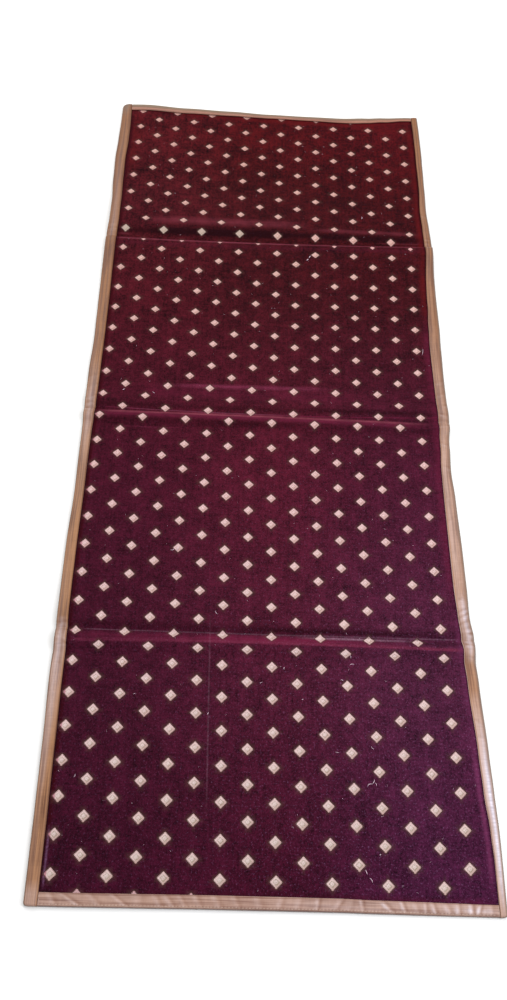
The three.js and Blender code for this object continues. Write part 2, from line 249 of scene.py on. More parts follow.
def outline_middle():
    """Middle of the mat's box in plan, which is the frame's origin."""
    along = np.linspace(0, MAT_LENGTH, 3001)
    across = np.linspace(-HALF_WIDTH - 2, HALF_WIDTH + 1, 401)
    left = side_line("left", along, 0, 0).min()
    right = side_line("right", along, 0, 0).max()
    near = reach(across, 0 * across).min()
    far = reach(across, 0 * across + MAT_LENGTH).max()
    return (left + right) / 2, (near + far) / 2


MIDDLE = outline_middle()


def place(across, along, up):
    """Points of the cloth in the frame, in millimetres."""
    across, along = np.asarray(across, float), np.asarray(along, float)
    y = reach(across, along) - MIDDLE[1]
    return np.stack(np.broadcast_arrays(across - MIDDLE[0], y, up + lift(across, along)), axis=-1)


class Unevenness:
    """Smooth noise from a seeded grid."""

    def __init__(self, seed, cell_across, cell_along):
        self.grid = np.random.default_rng(seed).uniform(-1, 1, (400, 400))
        self.cells = (cell_across, cell_along)

    def __call__(self, across, along):
        u = np.asarray(across, float) / self.cells[0] + 150
        v = np.asarray(along, float) / self.cells[1] + 20
        i, j = np.floor(u).astype(int) % 399, np.floor(v).astype(int) % 399
        s, t = ease(u - np.floor(u)), ease(v - np.floor(v))
        g = self.grid
        low = g[i, j] * (1 - s) + g[i + 1, j] * s
        high = g[i, j + 1] * (1 - s) + g[i + 1, j + 1] * s
        return low * (1 - t) + high * t


class ClothLength:
    """Cloth that the creases use up, so that woven rows stay evenly spaced on the cloth."""

    def __init__(self):
        self.across = np.linspace(-300, 300, 25)
        self.along = np.arange(-60.0, MAT_LENGTH + 60, 0.5)
        self.used = []
        for x in self.across:
            column = np.full_like(self.along, x)
            y, z = reach(column, self.along), lift(column, self.along)
            length = np.concatenate([[0], np.cumsum(np.hypot(np.diff(y), np.diff(z)))])
            self.used.append(length - np.interp(0, y, length))

    def along_at(self, across, length):
        """The distance along at which a length of cloth has been used up."""
        step = self.across[1] - self.across[0]
        f = np.clip((across - self.across[0]) / step, 0, len(self.across) - 1.001)
        i = f.astype(int)
        found = np.empty_like(across)
        for k in np.unique(i):
            m = i == k
            low, high = (np.interp(length[m], self.used[n], self.along) for n in (k, k + 1))
            found[m] = low + (high - low) * (f[m] - k)
        return found


cloth_length = ClothLength()
slow_wave = Unevenness(3, 85.0, 120.0)
small_wave = Unevenness(5, 26.0, 34.0)


def lattice_point(column, row, aside=0.0, ahead=0.0):
    """Across and along of a point of the lattice, and of points beside it on the cloth."""
    names = "drift slant bow middle stretch wide tall"
    drift, slant, bow, middle, stretch, wide, tall = columns_at(LATTICE_DRIFT, "row", names, row)
    for squeezed, shares in SQUEEZED_ROWS.items():
        wide = np.where(row == squeezed, shares[0] * wide, wide)
        tall = np.where(row == squeezed, shares[1] * tall, tall)
    aside, ahead = aside * wide, ahead * tall
    across = HALF_PITCH * stretch * (column - (COLUMNS - 1) / 2) + middle
    length = FIRST_ROW + ROW_PITCH * row + drift + slant * across + bow * (across / HALF_WIDTH) ** 2
    across = across + aside
    return across, cloth_length.along_at(across, length + ahead + slant * aside)


def edge_distances(across, along):
    """Distances in from the inner edges of the left, right, near and far strips."""
    left = across - side_line("left", along, strip_width("left", along), 0)
    right = side_line("right", along, strip_width("right", along), 0) - across
    near = along - strip_width("near", across)
    far = MAT_LENGTH - strip_width("far", across) - along
    return left, right, near, far


def inside_field(across, along):
    """Distance in from the strips' inner edges, which is negative under the strips."""
    return np.minimum.reduce(edge_distances(across, along))


def motif_list():
    """Column and row numbers of the woven diamonds that show, whole or in part."""
    column, row = np.meshgrid(np.arange(COLUMNS), np.arange(FIRST_ROW_NUMBER, LAST_ROW_NUMBER + 1))
    column, row = column.ravel().astype(float), row.ravel().astype(float)
    across, along = lattice_point(column, row)
    inside = inside_field(across, along)
    under_near = (row < 0) & (across > NEAR_TIPS_END)
    under_far = (row >= LAST_ROW_NUMBER - 1) & (across > FAR_TIPS_END) & (inside < DIAMOND_HALF)
    shown = inside > -0.85 * DIAMOND_HALF
    kept = ((column + row) % 2 == 0) & shown & ~under_near & ~under_far
    return np.stack([column[kept], row[kept]], axis=1)


MOTIFS = motif_list()


# Meshes
def build_mesh(name, points_mm, faces, material, smooth_angle=None):
    mesh = bpy.data.meshes.new(name)
    mesh.from_pydata((np.asarray(points_mm) * MM).tolist(), [], faces)
    mesh.validate()
    mesh.update()
    mesh.shade_smooth()
    if smooth_angle is not None:
        mesh.set_sharp_from_angle(angle=math.radians(smooth_angle))
    mesh.materials.append(material)
    return link(name, mesh)


def link(name, data):
    """New object in the scene."""
    item = bpy.data.objects.new(name, data)
    bpy.context.scene.collection.objects.link(item)
    return item


def set_attribute(piece, name, *values):
    """One number for each point, or a vector when three are given."""
    kind, key = ("FLOAT_VECTOR", "vector") if len(values) == 3 else ("FLOAT", "value")
    attribute = piece.data.attributes.new(name, kind, "POINT")
    attribute.data.foreach_set(key, np.stack(values, axis=1).astype(np.float32).ravel())


def walls(first, second, turned=False):
    """Faces between closed loops of point numbers."""
    corners = [first, np.roll(first, -1, -1), np.roll(second, -1, -1), second]
    if turned:
        corners = [corners[k] for k in (0, 3, 2, 1)]
    return np.stack(corners, axis=-1).reshape(-1, 4).tolist()


def filled(places, least, step):
    """Sorted places without those that lie too close, with the gaps cut into even steps."""
    kept = [places[0]]
    for value in places[1:]:
        gap = value - kept[-1]
        if gap >= least or value == places[-1]:
            parts = max(1, math.ceil(gap / step))
            kept += [kept[-1] + gap * k / parts for k in range(1, parts + 1)]
    return np.array(kept)


class Nodes:
    """Short way to write a node tree: each call adds a node and feeds its inputs."""

    def __init__(self, name):
        self.material = bpy.data.materials.new(name)
        self.material.use_nodes = True
        self.tree = self.material.node_tree

    def feed(self, socket, value):
        if isinstance(value, bpy.types.NodeSocket):
            self.tree.links.new(value, socket)
        elif value is not None:
            socket.default_value = value

    def add(self, kind, *values, output=0, **settings):
        node = self.tree.nodes.new("ShaderNode" + kind)
        for key, value in settings.items():
            setattr(node, key, value)
        for socket, value in zip(node.inputs, values):
            self.feed(socket, value)
        return node.outputs[output]

    def math(self, operation, *values):
        return self.add("Math", *values, operation=operation)

    def times(self, a, b):
        return self.math("MULTIPLY", a, b)

    def total(self, values):
        result, *others = values
        for value in others:
            result = self.math("ADD", result, value)
        return result

    def span(self, value, low, high, to_low=0.0, to_high=1.0):
        return self.add("MapRange", value, low, high, to_low, to_high, interpolation_type="SMOOTHSTEP")

    def mix(self, share, a, b, blend="MIX"):
        skipped = [None] * 5
        return self.add("Mix", share, *skipped, a, b, output=2, data_type="RGBA", blend_type=blend)

    def shaded(self, colour, tone):
        return self.mix(1.0, colour, self.add("CombineColor", tone, tone, tone), "MULTIPLY")

    def attribute(self, name):
        return self.add("Attribute", attribute_name=name, output="Fac")

    def vector(self, name):
        return self.add("Attribute", attribute_name=name, output="Vector")

    def parts(self, vector):
        return tuple(self.add("SeparateXYZ", vector).node.outputs)

    def noise(self, vector, scale, detail=2.0, roughness=0.6):
        scaled = self.add("Mapping", vector, None, None, scale)
        return self.add("TexNoise", scaled, None, 1.0, detail, roughness)

    def ramp(self, value, stops):
        """Colour by stops, each a position and a colour."""
        colour = self.add("ValToRGB", value)
        elements = colour.node.color_ramp.elements
        while len(elements) < len(stops):
            elements.new(0.5)
        for element, (position, tint) in zip(elements, stops):
            element.position, element.color = position, tint
        return colour

    def bump(self, height, strength, distance):
        normal = self.add("Bump")
        for key, value in (("Strength", strength), ("Distance", distance), ("Height", height)):
            self.feed(normal.node.inputs[key], value)
        return normal

    def soft_mark(self, past, run, mark):
        """Strength of a mark with soft flanks before and past its line and soft ends."""
        rise = self.span(past, -mark["before"], 0)
        fall = self.span(past, mark["past"], 0)
        start = self.span(run, mark["start"], mark["start"] + mark["fade"], 0, mark["share"])
        end = self.span(run, mark["end"], mark["end"] - mark["fade"])
        return self.times(self.times(rise, fall), self.times(start, end))

    def finish(self, colour, roughness, normal, **constants):
        shader = self.tree.nodes["Principled BSDF"]
        for key, value in (("Base Color", colour), ("Roughness", roughness), ("Normal", normal)):
            self.feed(shader.inputs[key], value)
        for key, value in constants.items():
            shader.inputs[key.replace("_", " ")].default_value = value
        return self.material


def rgb(*levels):
    """Linear colour from the eight-bit values that a screen shows."""
    shares = [level / 255 for level in levels]
    return tuple(c / 12.92 if c <= 0.04045 else ((c + 0.055) / 1.055) ** 2.4 for c in shares) + (1.0,)


# Colours of the pile as they look on the mat, from the near end to the far end: its own burgundy with
# painted light in it
# Painted light in these: cooler and more purple near, warmer and redder far, and a painted purple sheen at
# the near right
PILE_COLOURS_WITH_PAINTED_LIGHT = {
    "share": (0.03, 0.2, 0.42, 0.66, 0.84, 0.96),
    "left": ((56, 19, 34), (62, 22, 37), (66, 22, 36), (68, 22, 29), (67, 23, 27), (73, 23, 26)),
    "middle": ((62, 20, 36), (72, 26, 43), (77, 25, 39), (61, 21, 26), (58, 20, 21), (67, 19, 20)),
    "right": ((66, 27, 52), (74, 32, 54), (69, 25, 42), (58, 20, 24), (57, 18, 19), (70, 19, 21)),
}
PILE_LIGHT = 1.3
PILE_HAZE = 0.004

# Noises of the pile: cells per millimetre, detail and roughness, and how far each one darkens
# and lightens the pile
PILE_NOISES = table(
    "name across along detail rough dark light",
    ("clouds", 0.011, 0.011, 3, 0.55, 0.88, 1.12),
    ("streaks", 0.022, 0.32, 3, 0.6, -0.1, 0.1),
    ("grain", 0.44, 0.36, 2, 0.7, -0.3, 0.42),
    ("mottle", 0.16, 0.13, 2, 0.6, -0.24, 0.24),
    ("warp", 0.28, 0.012, 2, 0.5, -0.1, 0.1),
    ("patches", 0.045, 0.03, 3, 0.6, -0.2, 0.2),
    ("pile", 0.85, 0.85, 2, 0.6, -0.28, 0.28),
)

# Painted sheen and painted shade on the nap, in bands across the mat where the folds tilt the pile and near
# the ends: the dark bands are painted shade, the pale and coloured ones painted sheen. For each: where they
# start and end across the mat and how far they fade in, the distance along of the line at the left edge, the
# middle and the right edge, how far the mark fades out before and past it, and its strength
ACROSS_SHEEN_AND_SHADE_MARKS = table(
    "kind start end fade left middle right before past share",
    ("dark", -290, 280, 40, 371, 370, 370, 5, 12, 0.32),
    ("dark", -60, 240, 60, 369, 369, 369, 3, 7, 0.4),
    ("dust", -264, 274, 25, 363.5, 364.5, 365.5, 1.8, 1.4, 0.15),
    ("dust", 30, 215, 60, 362, 361.5, 361, 4.5, 2, 0.42),
    ("wine", -290, 215, 60, 353, 355, 354, 11, 9, 0.4),
    ("wine", -130, 120, 80, 354, 356, 354, 12, 10, 0.7),
    ("blush", -290, 285, 25, 343, 349.5, 345.5, 3.5, 6, 0.45),
    ("blush", -160, 285, 60, 345, 349.5, 345.5, 3, 5, 0.45),
    ("dark", 185, 290, 30, 357, 357, 357, 6, 6, 0.4),
    ("dark", -290, 285, 30, 758, 758, 761, 6, 9, 0.38),
    ("dark", 20, 285, 90, 760, 761, 763, 5, 8, 0.4),
    ("wine", -272, 272, 20, 752.5, 749.3, 756.5, 1.4, 1.4, 0.75),
    ("dust", -272, 60, 90, 752.5, 749.8, 756.5, 1, 1, 0.1),
    ("wine", -290, 262, 60, 736, 738.5, 736, 9, 6, 0.6),
    ("pink", -290, 262, 60, 742, 745, 741, 6, 5.5, 0.72),
    ("pink", -120, 10, 40, 742, 744.5, 744, 5, 4, 0.3),
    ("dark", -290, 285, 40, 727, 729, 729, 11, 8, 0.22),
    ("dark", -120, 60, 60, 726, 727, 727, 8, 7, 0.25),
    ("blush", -255, -130, 25, 716, 717, 717, 2.5, 2, 0.3),
    ("blush", -200, 130, 110, 801, 806, 809, 8, 6, 0.95),
    ("wine", -240, 170, 90, 788, 790, 790, 22, 20, 0.25),
    ("dark", -230, 60, 50, 1155, 1155, 1155, 14, 22, 0.8),
    ("dark", -290, 285, 30, 1153, 1156, 1151, 10, 12, 0.68),
    ("dark", 30, 288, 60, 1153, 1157, 1152, 9, 11, 0.35),
    ("pink", -290, 290, 15, 1136, 1135, 1137, 6, 5, 0.5),
    ("pink", -120, 60, 40, 1135, 1135, 1136, 4, 3, 0.25),
    ("pink", 110, 285, 40, 1135, 1135, 1136, 4, 3, 0.2),
    ("rose", 185, 290, 30, 1145, 1145, 1145.5, 2, 2, 0.6),
    ("rose", -290, -245, 12, 1147, 1140, 1140, 3, 4, 0.7),
    ("rose", -240, 80, 70, 1183, 1182, 1178, 14, 16, 0.8),
    ("rose", 60, 290, 60, 1172, 1171, 1167, 7, 9, 0.6),
    ("wine", -290, 290, 30, 1124, 1124, 1124, 10, 7, 0.15),
    ("rust", -290, 290, 20, 1494, 1482, 1488, 9, 30, 0.6),
    ("rust", 150, 290, 70, 1470, 1470, 1472, 20, 40, 0.45),
    ("wine", -270, 290, 40, 16, 16, 16, 4, 7, 0.25),
)

# Painted shadow of the left strip and painted sheen on the pile that run along beside a side strip, at a
# distance in from its inner edge
MARGIN_SHEEN_AND_SHADOW_MARKS = table(
    "kind side start end fade line before past share",
    ("dark", "left", 16, 1490, 10, 0, 2, 2.6, 0.5),
    ("oxblood", "left", 30, 1490, 60, 3, 3, 5, 0.8),
    ("lilac", "left", 15, 100, 20, 4, 2.2, 2.6, 0.55),
    ("plum", "right", 22, 220, 50, 5, 4, 6, 0.9),
    ("plum", "right", 120, 420, 60, 2, 2, 10, 0.45),
    ("wine", "right", 400, 1000, 90, 3, 3, 12, 0.4),
    ("rust", "right", 930, 1490, 90, 5, 5, 11, 0.65),
    ("rust", "left", 1300, 1490, 60, 10, 6, 22, 0.4),
)

# Painted sheen on the thin crease along the mat, with its place across at its near end and at its far end
LENGTH_SHEEN_MARKS = table(
    "kind start end fade near far before past share",
    ("dust", 90, 410, 90, -76, -81, 1.8, 1.8, 0.1),
)

# Colours of the painted sheen and painted shade on the nap: dark and oxblood are painted shade, the others
# painted sheen
SHEEN_AND_SHADE_COLOURS = {
    "wine": (110, 34, 60), "blush": (118, 46, 70), "pink": (142, 68, 84), "rose": (108, 44, 54),
    "rust": (98, 24, 24), "plum": (112, 50, 86), "oxblood": (62, 14, 19), "lilac": (140, 98, 136),
    "dust": (186, 150, 172), "dark": (34, 14, 17),
}
SPECKLED = ("dust", "lilac", "blush")
# Painted shade in the recesses round the diamonds
RECESS_SHADE_COLOUR = (88, 66, 58)
FLECK_COLOUR = (150, 104, 150)


def as_lit(*levels):
    """Linear colour of the pile that looks like the eight-bit values under the scene's light."""
    return tuple(max(c - PILE_HAZE, 0.0005) / PILE_LIGHT for c in rgb(*levels)[:3]) + (1.0,)


def sheen_and_shade_marks(n, across, along, margins):
    """Strengths of all painted sheen and painted shade marks on the nap, listed by their kinds."""
    shares = {kind: [] for kind in SHEEN_AND_SHADE_COLOURS}
    side = n.times(across, 1 / HALF_WIDTH)
    side_squared = n.times(side, side)
    for mark in ACROSS_SHEEN_AND_SHADE_MARKS:
        left, middle, right = mark["left"], mark["middle"], mark["right"]
        line = n.math("MULTIPLY_ADD", side, (right - left) / 2, middle)
        line = n.math("MULTIPLY_ADD", side_squared, (right + left) / 2 - middle, line)
        shares[mark["kind"]].append(n.soft_mark(n.math("SUBTRACT", along, line), across, mark))
    for mark in MARGIN_SHEEN_AND_SHADOW_MARKS:
        past = n.math("SUBTRACT", margins[mark["side"]], mark["line"])
        shares[mark["kind"]].append(n.soft_mark(past, along, mark))
    for mark in LENGTH_SHEEN_MARKS:
        slope = (mark["far"] - mark["near"]) / (mark["end"] - mark["start"])
        line = n.math("MULTIPLY_ADD", along, slope, mark["near"] - slope * mark["start"])
        shares[mark["kind"]].append(n.soft_mark(n.math("SUBTRACT", across, line), along, mark))
    return shares


def velvet_material():
    n = Nodes("burgundy_velvet")
    cloth = n.vector("mat")
    across, along, _ = n.parts(cloth)
    margins = dict(zip(SIDES, n.parts(n.vector("margins"))))
    noises = {
        row["name"]: n.noise(cloth, (row["across"], row["along"], 0), row["detail"], row["rough"])
        for row in PILE_NOISES
    }
    speck = n.noise(cloth, (0.4, 0.34, 0), 3.0, 0.75)
    share = n.times(along, 1 / MAT_LENGTH)
    # The pile's colour by place, with its painted light: cooler near, warmer far, and a painted purple sheen
    # at the near right
    left, middle, right = (
        n.ramp(share, [(at, as_lit(*c)) for at, c in zip(PILE_COLOURS_WITH_PAINTED_LIGHT["share"], PILE_COLOURS_WITH_PAINTED_LIGHT[column])])
        for column in ("left", "middle", "right")
    )
    base = n.mix(n.span(across, -230, 0), left, middle)
    base = n.mix(n.span(across, 0, 230), base, right)
    tone = n.total(n.span(noises[row["name"]], 0.3, 0.7, row["dark"], row["light"]) for row in PILE_NOISES)
    gain = n.span(along, 600, 1400, 1.0, 1.75)
    colour = n.shaded(base, n.math("MULTIPLY_ADD", n.math("SUBTRACT", tone, 1.0), gain, 1.0))
    sheen_patches = n.span(noises["patches"], 0.3, 0.7, 0.5, 0.95)
    break_up = n.math("ADD", sheen_patches, n.span(noises["streaks"], 0.35, 0.65, 0.0, 0.35))
    fuzz = n.span(speck, 0.35, 0.65, 0.55, 1.25)
    # Painted sheen and painted shade of the folds, the ends and the margins, in patches
    for kind, parts in sheen_and_shade_marks(n, across, along, margins).items():
        amount = n.times(n.total(parts), break_up)
        if kind in SPECKLED:
            amount = n.times(amount, fuzz)
        colour = n.mix(n.math("MINIMUM", amount, 0.95), colour, as_lit(*SHEEN_AND_SHADE_COLOURS[kind]))
    near_dust = n.times(n.span(along, 900, 150, 0.25, 1.0), n.span(across, -250, 200, 0.45, 1.0))
    flecks = n.times(n.span(speck, 0.55, 0.72, 0.0, 0.42), near_dust)
    colour = n.mix(flecks, colour, as_lit(*FLECK_COLOUR))
    # Painted shade of the strips on the nap beside them
    colour = n.mix(n.attribute("shade"), colour, as_lit(*SHEEN_AND_SHADE_COLOURS["dark"]))
    # Painted shade in the recesses round the diamonds
    colour = n.mix(n.attribute("recess_shade"), colour, as_lit(*RECESS_SHADE_COLOUR))
    height = n.total([n.times(noises["pile"], 0.6), n.times(noises["streaks"], 0.5)])
    return n.finish(
        colour, 0.9, n.bump(height, 0.45, 0.0006),
        Sheen_Weight=0.12, Sheen_Roughness=0.5, Sheen_Tint=rgb(190, 60, 110), Specular_IOR_Level=0.06,
    )


# Colours of the woven thread by share of the mat's length: its cream and the gold of its figure
MOTIF_COLOURS = {
    "cream": ((0.03, (206, 188, 184)), (0.2, (214, 191, 190)), (0.4, (216, 183, 184)),
              (0.7, (210, 173, 166)), (1.0, (202, 156, 146))),
    "gold": ((0.03, (128, 110, 82)), (0.4, (150, 112, 96)), (1.0, (146, 100, 82))),
}


def motif_material():
    n = Nodes("woven_motif")
    ring, cloth = n.attribute("ring"), n.vector("mat")
    _, along, _ = n.parts(cloth)
    # lean paints shade on each diamond's lower right side; the second value is a magenta tint; cool paints
    # shade on row 48 and a highlight on row 47
    lean, magenta_tint, cool = n.parts(n.vector("lean"))
    thread = n.noise(cloth, (1.1, 1.1, 0))
    share = n.times(along, 1 / MAT_LENGTH)
    cream, gold = (n.ramp(share, [(at, rgb(*c)) for at, c in stops]) for stops in MOTIF_COLOURS.values())
    inner_ring = n.times(n.span(ring, 1.6, 2.6), n.span(ring, 4.2, 3.2))
    middle = n.span(ring, 0.9, 0.2)
    figure = n.times(n.math("MAXIMUM", inner_ring, middle), n.span(thread, 0.4, 0.6, 0.1, 0.85))
    figure = n.times(figure, n.span(n.attribute("tone"), 0.0, 1.0, 0.6, 1.0))
    # Painted shade: more gold towards each diamond's lower right side
    amount = n.total([figure, n.times(n.span(lean, 0.3, -0.9), 0.5)])
    colour = n.mix(n.math("MINIMUM", amount, 0.9), cream, gold)
    for share, tint in (
        (n.span(ring, 3.2, 5.2, 0.0, 0.34), (204, 150, 154)),
        # painted shade of the pile's edge on the diamond's outer rim
        (n.span(ring, 5.2, 6.6, 0.0, 0.45), (130, 86, 78)),
        (n.span(thread, 0.45, 0.7, 0.0, 0.5), (134, 98, 92)),
        (magenta_tint, (150, 40, 84)),
        # painted shade on row 48, on the crease's far slope
        (n.math("MAXIMUM", cool, 0.0), (150, 152, 136)),
        # painted highlight on row 47, in the crease's valley
        (n.math("MAXIMUM", n.times(cool, -1.0), 0.0), (212, 156, 158)),
    ):
        colour = n.mix(share, colour, rgb(*tint))
    return n.finish(colour, 0.75, n.bump(thread, 0.4, 0.0003), Sheen_Weight=0.1, Specular_IOR_Level=0.2)


# Colours of the satin: its warm face, its shade, its outer edge and its face at the far end; the rose satin
# of the near strip is the copper satin with a painted pinkish reflection
SATIN = {
    "copper": {"face": (154, 108, 72), "deep": (98, 58, 36), "edge": (118, 104, 94), "far": (134, 88, 53)},
    "rose": {"face": (164, 129, 113), "deep": (114, 76, 62), "edge": (96, 78, 74), "far": (160, 126, 110)},
    "umber": {"face": (154, 102, 80), "deep": (104, 58, 42), "edge": (122, 102, 82), "far": (154, 102, 80)},
}
# Colours of the painted highlights and painted reflections on the satin
PALE_SATIN = (192, 166, 160)
BRIGHT_SATIN = (214, 211, 228)
HOLE_SHADE = (70, 46, 44)


def satin_material(name):
    """Satin strip: fine threads and slow streaks that run its length, and painted highlights and painted
    reflections.
    """
    face, deep, edge, far = (rgb(*tint) for tint in SATIN[name].values())
    n = Nodes(name + "_satin")
    strip = n.add("UVMap", uv_map="strip")
    threads = n.noise(strip, (40, 1500, 0))
    streaks = n.noise(strip, (7, 300, 0), 3.0)
    blotch = n.noise(strip, (12, 70, 0), 3.0, 0.55)
    weft = n.noise(strip, (420, 45, 0))
    tone = n.total([n.span(streaks, 0.38, 0.58, 0.0, 0.8), n.span(blotch, 0.36, 0.6, 0.0, 0.35)])
    colour = n.mix(tone, deep, n.mix(n.span(n.parts(strip)[0], 0.4, 1.2), face, far))
    # Painted highlights and painted reflections, pale and bright
    for sheen_patches, cloth, end, most, tint in (
        ("pale", streaks, 0.65, 1.15, PALE_SATIN), ("bright", threads, 0.7, 1.1, BRIGHT_SATIN),
    ):
        amount = n.times(n.attribute(sheen_patches), n.span(cloth, 0.3, end, 0.6, most))
        colour = n.mix(n.math("MINIMUM", amount, 1.0), colour, rgb(*tint))
    rib_depth = n.math("MULTIPLY_ADD", n.attribute("bright"), 0.9, 0.3)
    ribs = n.times(n.math("SUBTRACT", weft, 0.5), rib_depth)
    colour = n.shaded(colour, n.math("ADD", ribs, 1.0))
    # The grey outer edge, which also carries painted shade at the left strip's far corner
    colour = n.mix(n.attribute("outer"), colour, edge)
    # The dark line, with painted shade in the folds' hollows and on the inner lip
    colour = n.mix(n.attribute("deep"), colour, deep)
    colour = n.mix(n.times(n.attribute("holes"), 0.6), colour, rgb(*HOLE_SHADE))
    colour = n.mix(n.span(threads, 0.45, 0.8, 0.0, 0.3), colour, deep)
    height = n.total([n.times(threads, 0.35), n.times(blotch, 0.6), n.times(weft, 0.3)])
    rough = n.span(streaks, 0.3, 0.7, 0.36, 0.5)
    normal = n.bump(height, 0.4, 0.0006)
    return n.finish(colour, rough, normal, Sheen_Weight=0.04, Specular_IOR_Level=0.32)


def thread_material(name, colour, spread):
    n = Nodes(name)
    twist = n.noise(n.add("TexCoord", output="Object"), (1500, 1500, 1500))
    return n.finish(n.mix(n.span(twist, 0.3, 0.7), colour, spread), 0.6, n.bump(twist, 0.4, 0.0002))


# Velvet sheet with a recess for each woven diamond
CREASE_STEP = 2.0
SLOPE_STEP = 3.5
FIELD_STEP = 6.2
COLUMN_STEP = 5.6
RING_POINTS = 5
RINGS = table("out down", (1.2, 0.0), (0.35, 0.3), (-0.1, RECESS_DEPTH))
FLOOR_STEP = 3.3
FLOOR_SINK = 0.35
LENGTHWISE_CREASE = {"along": (60, 95, 184, 295, 401, 470), "across": (-75, -76, -78, -80, -81, -82)}
# The right strip stands clear of the pile up to here, and throws its shade only past it
RIGHT_SHADE_START = 900.0


def row_places():
    """Distances along the mat of the sheet's rows, close together at the creases."""
    radius = CORNER_RADIUS["left"]
    near_seam, far_seam = (STRIPS[end]["width"] + SWELL_START for end in ("near", "far"))
    places = [SHEET_INSET, radius["near"], near_seam]
    places += [MAT_LENGTH - inset for inset in (SHEET_INSET, 6.0, radius["far"], far_seam)]
    for crease in CREASES:
        slope = np.arange(25.5, 60, SLOPE_STEP)
        for steps in (np.arange(-22, 22.1, CREASE_STEP), slope, -slope):
            places += list(crease["along"] + steps)
    return filled(sorted(places), 0.8, FIELD_STEP)


def sheet_columns(along):
    """Across values of one row of the sheet, from its left edge to its right edge."""
    lines = {}
    for side in SIDES:
        insets = (SHEET_INSET, 7.0, float(strip_width(side, along)) + 0.5)
        lines[side] = [float(side_line(side, along, inset, SHEET_INSET)) for inset in insets]
    left, right = lines["left"], lines["right"][::-1]
    inner = np.linspace(left[-1], right[0], int(2 * HALF_WIDTH / COLUMN_STEP))
    return np.concatenate([left[:-1], inner, right[1:]])


def diamond_outline(out):
    """Points round a diamond, clear of its corners, as aside and ahead."""
    half = DIAMOND_HALF + out
    shares = (np.arange(4 * RING_POINTS) + 0.5) / RING_POINTS
    corner = np.floor(shares).astype(int)
    t = shares - corner
    corners = np.array([[half, 0], [0, half], [-half, 0], [0, -half], [half, 0]], float)
    return corners[corner] + (corners[corner + 1] - corners[corner]) * t[:, None]


def beside_strips(across, along):
    """Distances in from the nearest edge but the right one, and from the right edge with how
    much of the shade it throws."""
    left, right, near, far = edge_distances(across, along)
    return np.minimum(np.minimum(left, near), far), right, ease((along - RIGHT_SHADE_START) / 400)


def top_height(across, along):
    """Height of the pile above the cloth's underside."""
    beside, right, share = beside_strips(across, along)
    inside = np.minimum(beside, right)
    up = BORDER_TOP + (PILE_TOP - BORDER_TOP) * ease(inside / SWELL_END)
    up = up - 0.55 * bell(beside - 2.2, 2.6) - (0.15 + 0.4 * share) * bell(right - 2.2, 2.6)
    up = up + ease(inside / 14.0) * (0.3 * slow_wave(across, along) + 0.12 * small_wave(across, along))
    (line,) = columns_at(LENGTHWISE_CREASE, "along", "across", along)
    fade = ease((along - 60) / 40) * ease((470 - along) / 90)
    return up - 0.35 * fade * bell(across - line, 2.2)


def nap_shade(across, along):
    """Darker nap in the shade of the strips."""
    beside, right, share = beside_strips(across, along)
    shade = 0.55 * bell(np.clip(beside, 0, None), 1.6)
    return np.maximum(shade, (0.02 + 0.5 * share) * bell(np.clip(right, 0, None), 1.6))


def sheet_outline(rows):
    """The sheet's outline as plan points, turning left all the way round."""
    edges = [side_line(side, rows, SHEET_INSET, SHEET_INSET).tolist() for side in SIDES]
    left, right = (list(zip(edge, rows)) for edge in edges)
    near, far = ([(x, a) for x in sheet_columns(a)] for a in (rows[0], rows[-1]))
    return near[:-1] + right[:-1] + far[::-1][:-1] + left[::-1][:-1]


def fill_outline(outline, inner, holes):
    """Triangles inside an outline. Gives the plan, the triangles with the hole that each lies in
    or -1, and the new numbers of the points that were handed in."""
    points = outline + inner + [tuple(p) for p in holes.reshape(-1, 2)]
    first, around = len(outline) + len(inner), holes.shape[1]
    loops = [list(range(len(outline)))]
    loops += [[first + k * around + j for j in range(around)] for k in range(len(holes))]
    corners = [Vector(p) for p in points]
    plan, _, found, source, _, inside_of = delaunay_2d_cdt(corners, [], loops, 1, 1e-5, True)
    plan = np.array([tuple(p) for p in plan])
    numbers = np.empty(len(points), int)
    for new, olds in enumerate(source):
        numbers[olds] = new
    triangles = []
    for (a, b, c), loop in zip(found, inside_of):
        if 0 in loop:
            turn = np.cross(plan[b] - plan[a], plan[c] - plan[a])
            triangles.append(((a, b, c) if turn > 0 else (a, c, b), max(loop) - 1))
    return plan, triangles, numbers


def recess_rings():
    """Plan points of the rings round every woven diamond: the pile's edge, its brow and its foot."""
    rings = []
    for level, ring in enumerate(RINGS):
        aside, ahead = np.tile(diamond_outline(ring["out"]), (len(MOTIFS), 1)).T
        column, row = np.repeat(MOTIFS, 4 * RING_POINTS, axis=0).T
        across, along = lattice_point(column, row, aside, ahead)
        margin = SHEET_INSET + 1.0 + 0.3 * level
        along = np.clip(along, margin, MAT_LENGTH - margin)
        rings.append(np.stack([across, along], 1).reshape(len(MOTIFS), -1, 2))
    return rings


def recess_floor(holes):
    """Plan points on a small grid inside every recess, so that its floor follows the cloth."""
    steps = np.arange(-2, 3) * FLOOR_STEP
    aside, ahead = np.array([(x, y) for x in steps for y in steps if abs(x) + abs(y) < DIAMOND_HALF - 1]).T
    points = []
    for (column, row), hole in zip(MOTIFS, holes):
        low, high = max(hole[:, 1].min() + 1.5, 4), min(hole[:, 1].max() - 1.5, MAT_LENGTH - 4)
        points += [(x, a) for x, a in zip(*lattice_point(column, row, aside, ahead)) if low < a < high]
    return points


def field_points(rows, centres, keep_out):
    """Plan points of the sheet's inside, clear of the recesses."""
    points = []
    for a in rows[1:-1]:
        xs = sheet_columns(a)[1:-1]
        close = centres[np.abs(centres[:, 1] - a) < keep_out + 4]
        away = np.abs(xs[:, None] - close[:, 0]) + np.abs(a - close[:, 1])
        points += [(x, a) for x in xs[(away > keep_out).all(axis=1)]]
    return points


